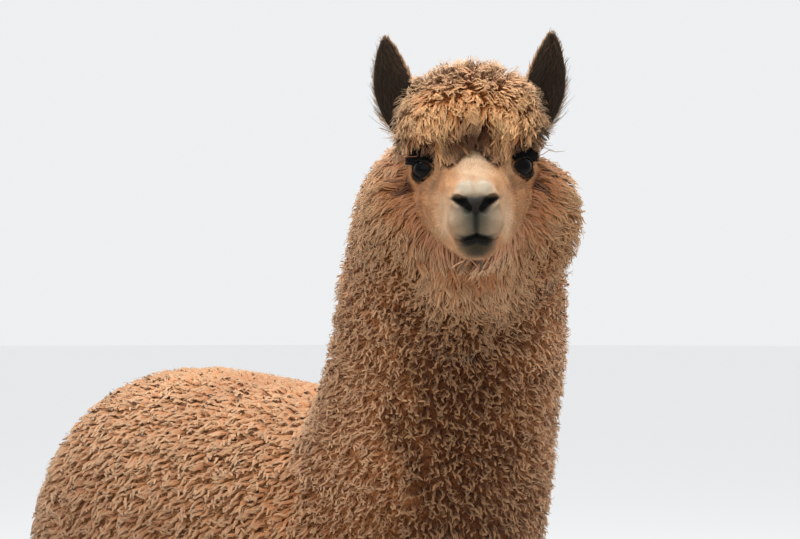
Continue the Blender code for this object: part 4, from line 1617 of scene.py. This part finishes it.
# %% [markdown]
# ## The coat
#
# Each region is scattered with roots, grown, clumped and made a mesh. A region with more triangles than
# one piece may have is split into bands by height. The staples come first: they are broad and make the
# fleece look dense. Finer strands lie over them, and short fur covers the face and the feet.

# %% Where locks grow
CLUMP_SIZE = {"trunk": 0.019, "neck": 0.0085, "leg": 0.016, "crown": 0.011, "top": 0.011, "cheek": 0.012,
              "face": 0.006, "foot": 0.008}
PIECE_TRIANGLES = 190_000


def skin_faces():
    """The middle of each triangle of the skin, and which shell it belongs to."""
    corners = triangles_of(skin)
    return points_of(skin)[corners].mean(axis=1), skin_part[corners[:, 0]]


def bald_share(centres):
    """1 where wool grows thick; less on the belly and between the legs."""
    under = 1 - soft_step(centres[:, 2], 0.42, 0.56)
    return 1 - 0.55 * under * (centres[:, 2] > 0.36)


def fur_share(points):
    """1 where short fur grows on the face, 0 on the nose, lips, eyes and inside the openings."""
    q = into_head(points)
    nose = near(q, (0, -0.132, -0.052), (0.028, 0.040, 0.016), 0.1)
    reach = seen_from_eye(q)[1]
    eye = (reach < 0.0200) | ((reach < 0.026) & (beyond_opening(q) < 6.0))
    openings = np.minimum(mark_distance(q, NOSTRIL), mark_distance(q, MOUTH)) < 0.0065
    return (nose < 0.5) * ~eye * ~openings


def growing(layer, region, rng):
    """How thick a layer grows on each triangle of the skin. Where regions blend, chance picks one."""
    centres, shell = skin_faces()
    q = into_head(centres)
    own = shell == FOOT if region == "foot" else (shell == BODY) | (shell == SKULL)
    if region == "face":
        own = own | (shell == LIDS)
    wanted = own * (shares_of_regions(centres)[region] > rng.uniform(size=len(centres)))
    wanted = wanted * (fur_share(centres) if region == "face" else bald_share(centres))
    if region == "cheek":
        wanted = wanted * (face_share(q) < 0.25)
        wanted = wanted * ((q[:, 1] > -0.042) | (abs(q[:, 0]) > 0.036))
    if region == "crown":
        wanted = wanted * ((abs(q[:, 0]) < 0.022) | (q[:, 2] > 0.014) | (q[:, 1] > 0))
    if layer == "staples":
        wanted = wanted * ((q[:, 2] < -0.03) | (q[:, 1] > 0.02) | (over_fringe(q) > 0.022))
    return wanted.astype(float)


# %% How long locks grow
def face_length(q):
    """The fur is shortest round the nose and longest at the edge of the face, under the wool."""
    from_nose = np.linalg.norm(q - (0, -0.135, -0.055), axis=1)
    by_eye = 1 - soft_step(seen_from_eye(q)[1], 0.024, 0.034)
    return np.interp(from_nose, [0.02, 0.06, 0.10, 0.14], [0.40, 0.75, 1.25, 1.6]) * (1 - 0.55 * by_eye)


def look_at(roots, region, looks, share):
    """Every measure of a lock at each root. The fringe is cut off above the eyes."""
    look = {key: blended(looks, share, key, region) for key in looks[region]}
    fringe = 0.009 + np.maximum(over_fringe(into_head(roots)), 0)
    look["length"] = np.where(share["crown"] > 0.3, np.minimum(look["length"], fringe), look["length"])
    if region == "face":
        look["length"] = np.minimum(look["length"], 0.013) * face_length(into_head(roots))
    return look


# %% Grow the coat
def grow(layer, region, seed):
    """One layer of one region, as one piece or as several bands."""
    rng = np.random.default_rng(seed)
    looks = LAYERS[layer]
    steps = looks[region]["steps"]
    roots, normals = scattered(skin, growing(layer, region, rng), looks[region]["gap"], rng)
    share = shares_of_regions(roots)
    look = look_at(roots, region, looks, share)
    way = lie_of_coat(roots, normals, share)
    clump = clumps_of(roots, CLUMP_SIZE[region])
    line, along = lock_lines(roots, normals, way, look, steps, clump, rng)
    line = clumped(line, along, look["clump"], clump)
    # No lock reaches below the floor.
    line[:, :, 2] = np.maximum(line[:, :, 2], look["width"][:, None])
    shade = 0.5 * chance(clump, 8) + 0.5 * rng.uniform(size=len(roots))
    triangles = (steps - 1) * 2 * SIDES + SIDES + 1
    bands = math.ceil(len(roots) * triangles / PIECE_TRIANGLES)
    places = unwrapped(roots, region)
    order = np.array_split(np.argsort(places[:, 1], kind="stable"), bands)
    colours, deep = markings(roots), painted_shade_between_locks(roots)
    for band, chosen in enumerate(order):
        name = f"{region}_{layer}" + (f"_{band + 1}" if bands > 1 else "")
        part = {key: values[chosen] for key, values in look.items()}
        mesh = lock_mesh(name, line[chosen], along, normals[chosen], part, places[chosen], shade[chosen],
                         deep[chosen], colours[chosen])
        add_piece(name, mesh, FINISHES[layer], "fleece")
    print(region, layer, len(roots), "locks", len(roots) * triangles, "triangles in", bands, "pieces")


# Each layer of each region draws from its own seed, so a change to one leaves the others as they are.
COAT_SEED = 11
kinds = [(layer, region) for layer, looks in LAYERS.items() for region in looks]
for number, (layer, region) in enumerate(kinds):
    grow(layer, region, COAT_SEED + number)

# %% [markdown]
# ## Hair of the ears
#
# The backs of the ears carry short fur that lies towards the tip. Their rims have a fringe of long pale
# hairs, and a few soft hairs cross the dark hollow. The locks are made as the wool is, only finer.

# %% Ear hair
EAR_HAIR = {
    "back": dict(length=0.011, width=0.0014, flat=0.5, rise=24, rest=4, bend=10, pitch=0.012,
                 twist=0.5, hook=10, turn=12, droop=0.0, clump=0.20, gap=0.0034, steps=3),
    "rim": dict(length=0.010, width=0.0007, flat=0.8, rise=26, rest=10, bend=12, pitch=0.020,
                twist=0.5, hook=20, turn=16, droop=0.05, clump=0.30, gap=0.0017, steps=4),
    "hollow": dict(length=0.016, width=0.0006, flat=0.8, rise=24, rest=10, bend=12, pitch=0.018,
                   twist=0.5, hook=20, turn=18, droop=0.0, clump=0.30, gap=0.0042, steps=4),
}
EAR_CLUMP = 0.007
EAR_SEED = 50
EAR_COLOURS = {"back": tone(150, 116, 84), "rim": tone(200, 166, 130), "hollow": tone(60, 46, 36)}


def ear_place(q, normals):
    """Which part of the ear a place is on: its back, its rim or its hollow."""
    facing = ear_facing(q, normals)
    return {"back": facing < -0.45, "rim": abs(facing) < 0.50, "hollow": facing > 0.40}


def plain_look(setting, count):
    return {key: np.full(count, float(value)) for key, value in setting.items()}


def add_locks(name, roots, normals, way, look, steps, clump_size, colours, finish, slot, rng):
    """Grows plain locks from the given roots as one piece."""
    clump = clumps_of(roots, clump_size)
    line, along = lock_lines(roots, normals, way, look, steps, clump, rng)
    line = clumped(line, along, look["clump"], clump)
    shade = rng.uniform(size=len(roots))
    mesh = lock_mesh(name, line, along, normals, look, unwrapped(roots, "face"), shade, 0 * shade, colours)
    add_piece(name, mesh, finish, slot)
    print(name, len(roots), "locks", len(triangles_of(mesh)), "triangles")


def grow_ear_hair(part, seed):
    rng = np.random.default_rng(seed)
    setting = EAR_HAIR[part]
    centres, shell = skin_faces()
    facing = unit(head_normals(skin)[triangles_of(skin)].mean(axis=1))
    wanted = (shell == EAR) * ear_place(into_head(centres), facing)[part]
    roots, grown = scattered(skin, wanted.astype(float), setting["gap"], rng)
    q = into_head(roots)
    way = head_way(np.array([0.0, 0.0, 1.0]) + np.sign(q[:, :1]) * (0.25, 0, 0))
    way = unit(way - (way * grown).sum(1, keepdims=True) * grown)
    look = plain_look(setting, len(roots))
    look["length"] = look["length"] * np.interp(q[:, 2], [0.05, 0.08, 0.12, 0.16], [2.6, 1.6, 1.0, 0.7])
    colours = np.tile(EAR_COLOURS[part], (len(roots), 1))
    colours = laid(colours, 0.6 * soft_step(q[:, 2], 0.10, 0.17), EAR_EDGE)
    add_locks(f"ear_{part}_hair", roots, grown, way, look, setting["steps"], EAR_CLUMP, colours,
              FINISHES["fur"], "ear_hair", rng)


for number, part in enumerate(EAR_HAIR):
    grow_ear_hair(part, EAR_SEED + number)

# %% [markdown]
# ## Lashes
#
# An alpaca has long straight dark lashes on the upper lid that point outwards and a little down, and
# short sparse ones below. They stand along the rim of each lid.

# %% Lashes
LASHES = {
    "upper": dict(length=0.017, width=0.0009, flat=0.8, rise=46, rest=18, bend=4, pitch=0.030,
                  twist=0.5, hook=6, turn=5, droop=0.20, clump=0.0, gap=0.0, steps=4),
    "lower": dict(length=0.007, width=0.0006, flat=0.8, rise=40, rest=10, bend=4, pitch=0.030,
                  twist=0.5, hook=8, turn=9, droop=0.10, clump=0.20, gap=0.0, steps=3),
}
# From which to which angle round the eye a row stands, and how many lashes it has.
LASH_SPAN = {"upper": (24, 160, 220), "lower": (-165, -15, 60)}
# How far out from the eyeball the lashes stand, on the rims of the lids.
LASH_OUT = 0.0022
LASH_CLUMP = 0.004
LASH_SEED = 60


def lash_roots(row, rng):
    """Places along one rim of the left eye in the head's frame, the way out there and the way to lean."""
    low, high, count = LASH_SPAN[row]
    turn = np.radians(np.linspace(low, high, count) + rng.uniform(-1, 1, count))
    angle = opening_at(turn) + rng.uniform(-0.4, 1.6, count)
    place = on_eye(turn, angle, np.full(count, LASH_OUT))
    beyond = on_eye(turn, angle + 5, np.full(count, LASH_OUT))
    return place, unit(place - EYE_AT), unit(unit(beyond - place) + 0.55 * EYE_ACROSS)


def grow_lashes(row, seed):
    rng = np.random.default_rng(seed)
    halves = []
    for side in (1, -1):
        halves.append([part * (side, 1, 1) for part in lash_roots(row, rng)])
    place, normals, way = (np.concatenate(parts) for parts in zip(*halves))
    look = plain_look(LASHES[row], len(place))
    colours = np.tile(EYE_BLACK, (len(place), 1))
    add_locks(f"{row}_lashes", out_of_head(place), head_way(normals), head_way(way), look,
              LASHES[row]["steps"], LASH_CLUMP, colours, FINISHES["lash"], "ear_hair", rng)


for number, row in enumerate(LASHES):
    grow_lashes(row, LASH_SEED + number)

# %% [markdown]
# ## Nails
#
# Each toe ends in a blunt nail. Its solid has the right shape but flat facets, so the nails are remeshed
# finely and smoothed a little. Horn is dark, with a faint grain that runs along the nail.

# %% Nails
NAILS = [name for name in frame["nodes"] if name.startswith("nail")]
NAIL_VOXEL = 0.0016


def horn_finish():
    material, tree, shader = new_material("nail_horn", 0.45)
    grain = noise_at(tree, 260.0, 4.0, (1.0, 1.0, 6.0))
    pale = ranged(tree, grain, 0.3, 0.7, 0.0, 1.0)
    colour = mixed(tree, "MIX", pale, (0.060, 0.045, 0.036), (0.130, 0.100, 0.075))
    tree.links.new(colour, shader.inputs["Base Color"])
    bumped(tree, shader, grain, 0.3, 0.0006)
    return material


nails = fused(NAILS, NAIL_VOXEL, 3)
add_piece("nails", nails, horn_finish(), "horn", *NAILS)
print("nails", len(nails.polygons), "faces")

# %% Sizes and the end
total = sum(len(triangles_of(thing.data)) for thing in bpy.data.objects
            if thing.type == "MESH" and not thing.hide_render and "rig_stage" not in thing)
print("whole model", total, "triangles")
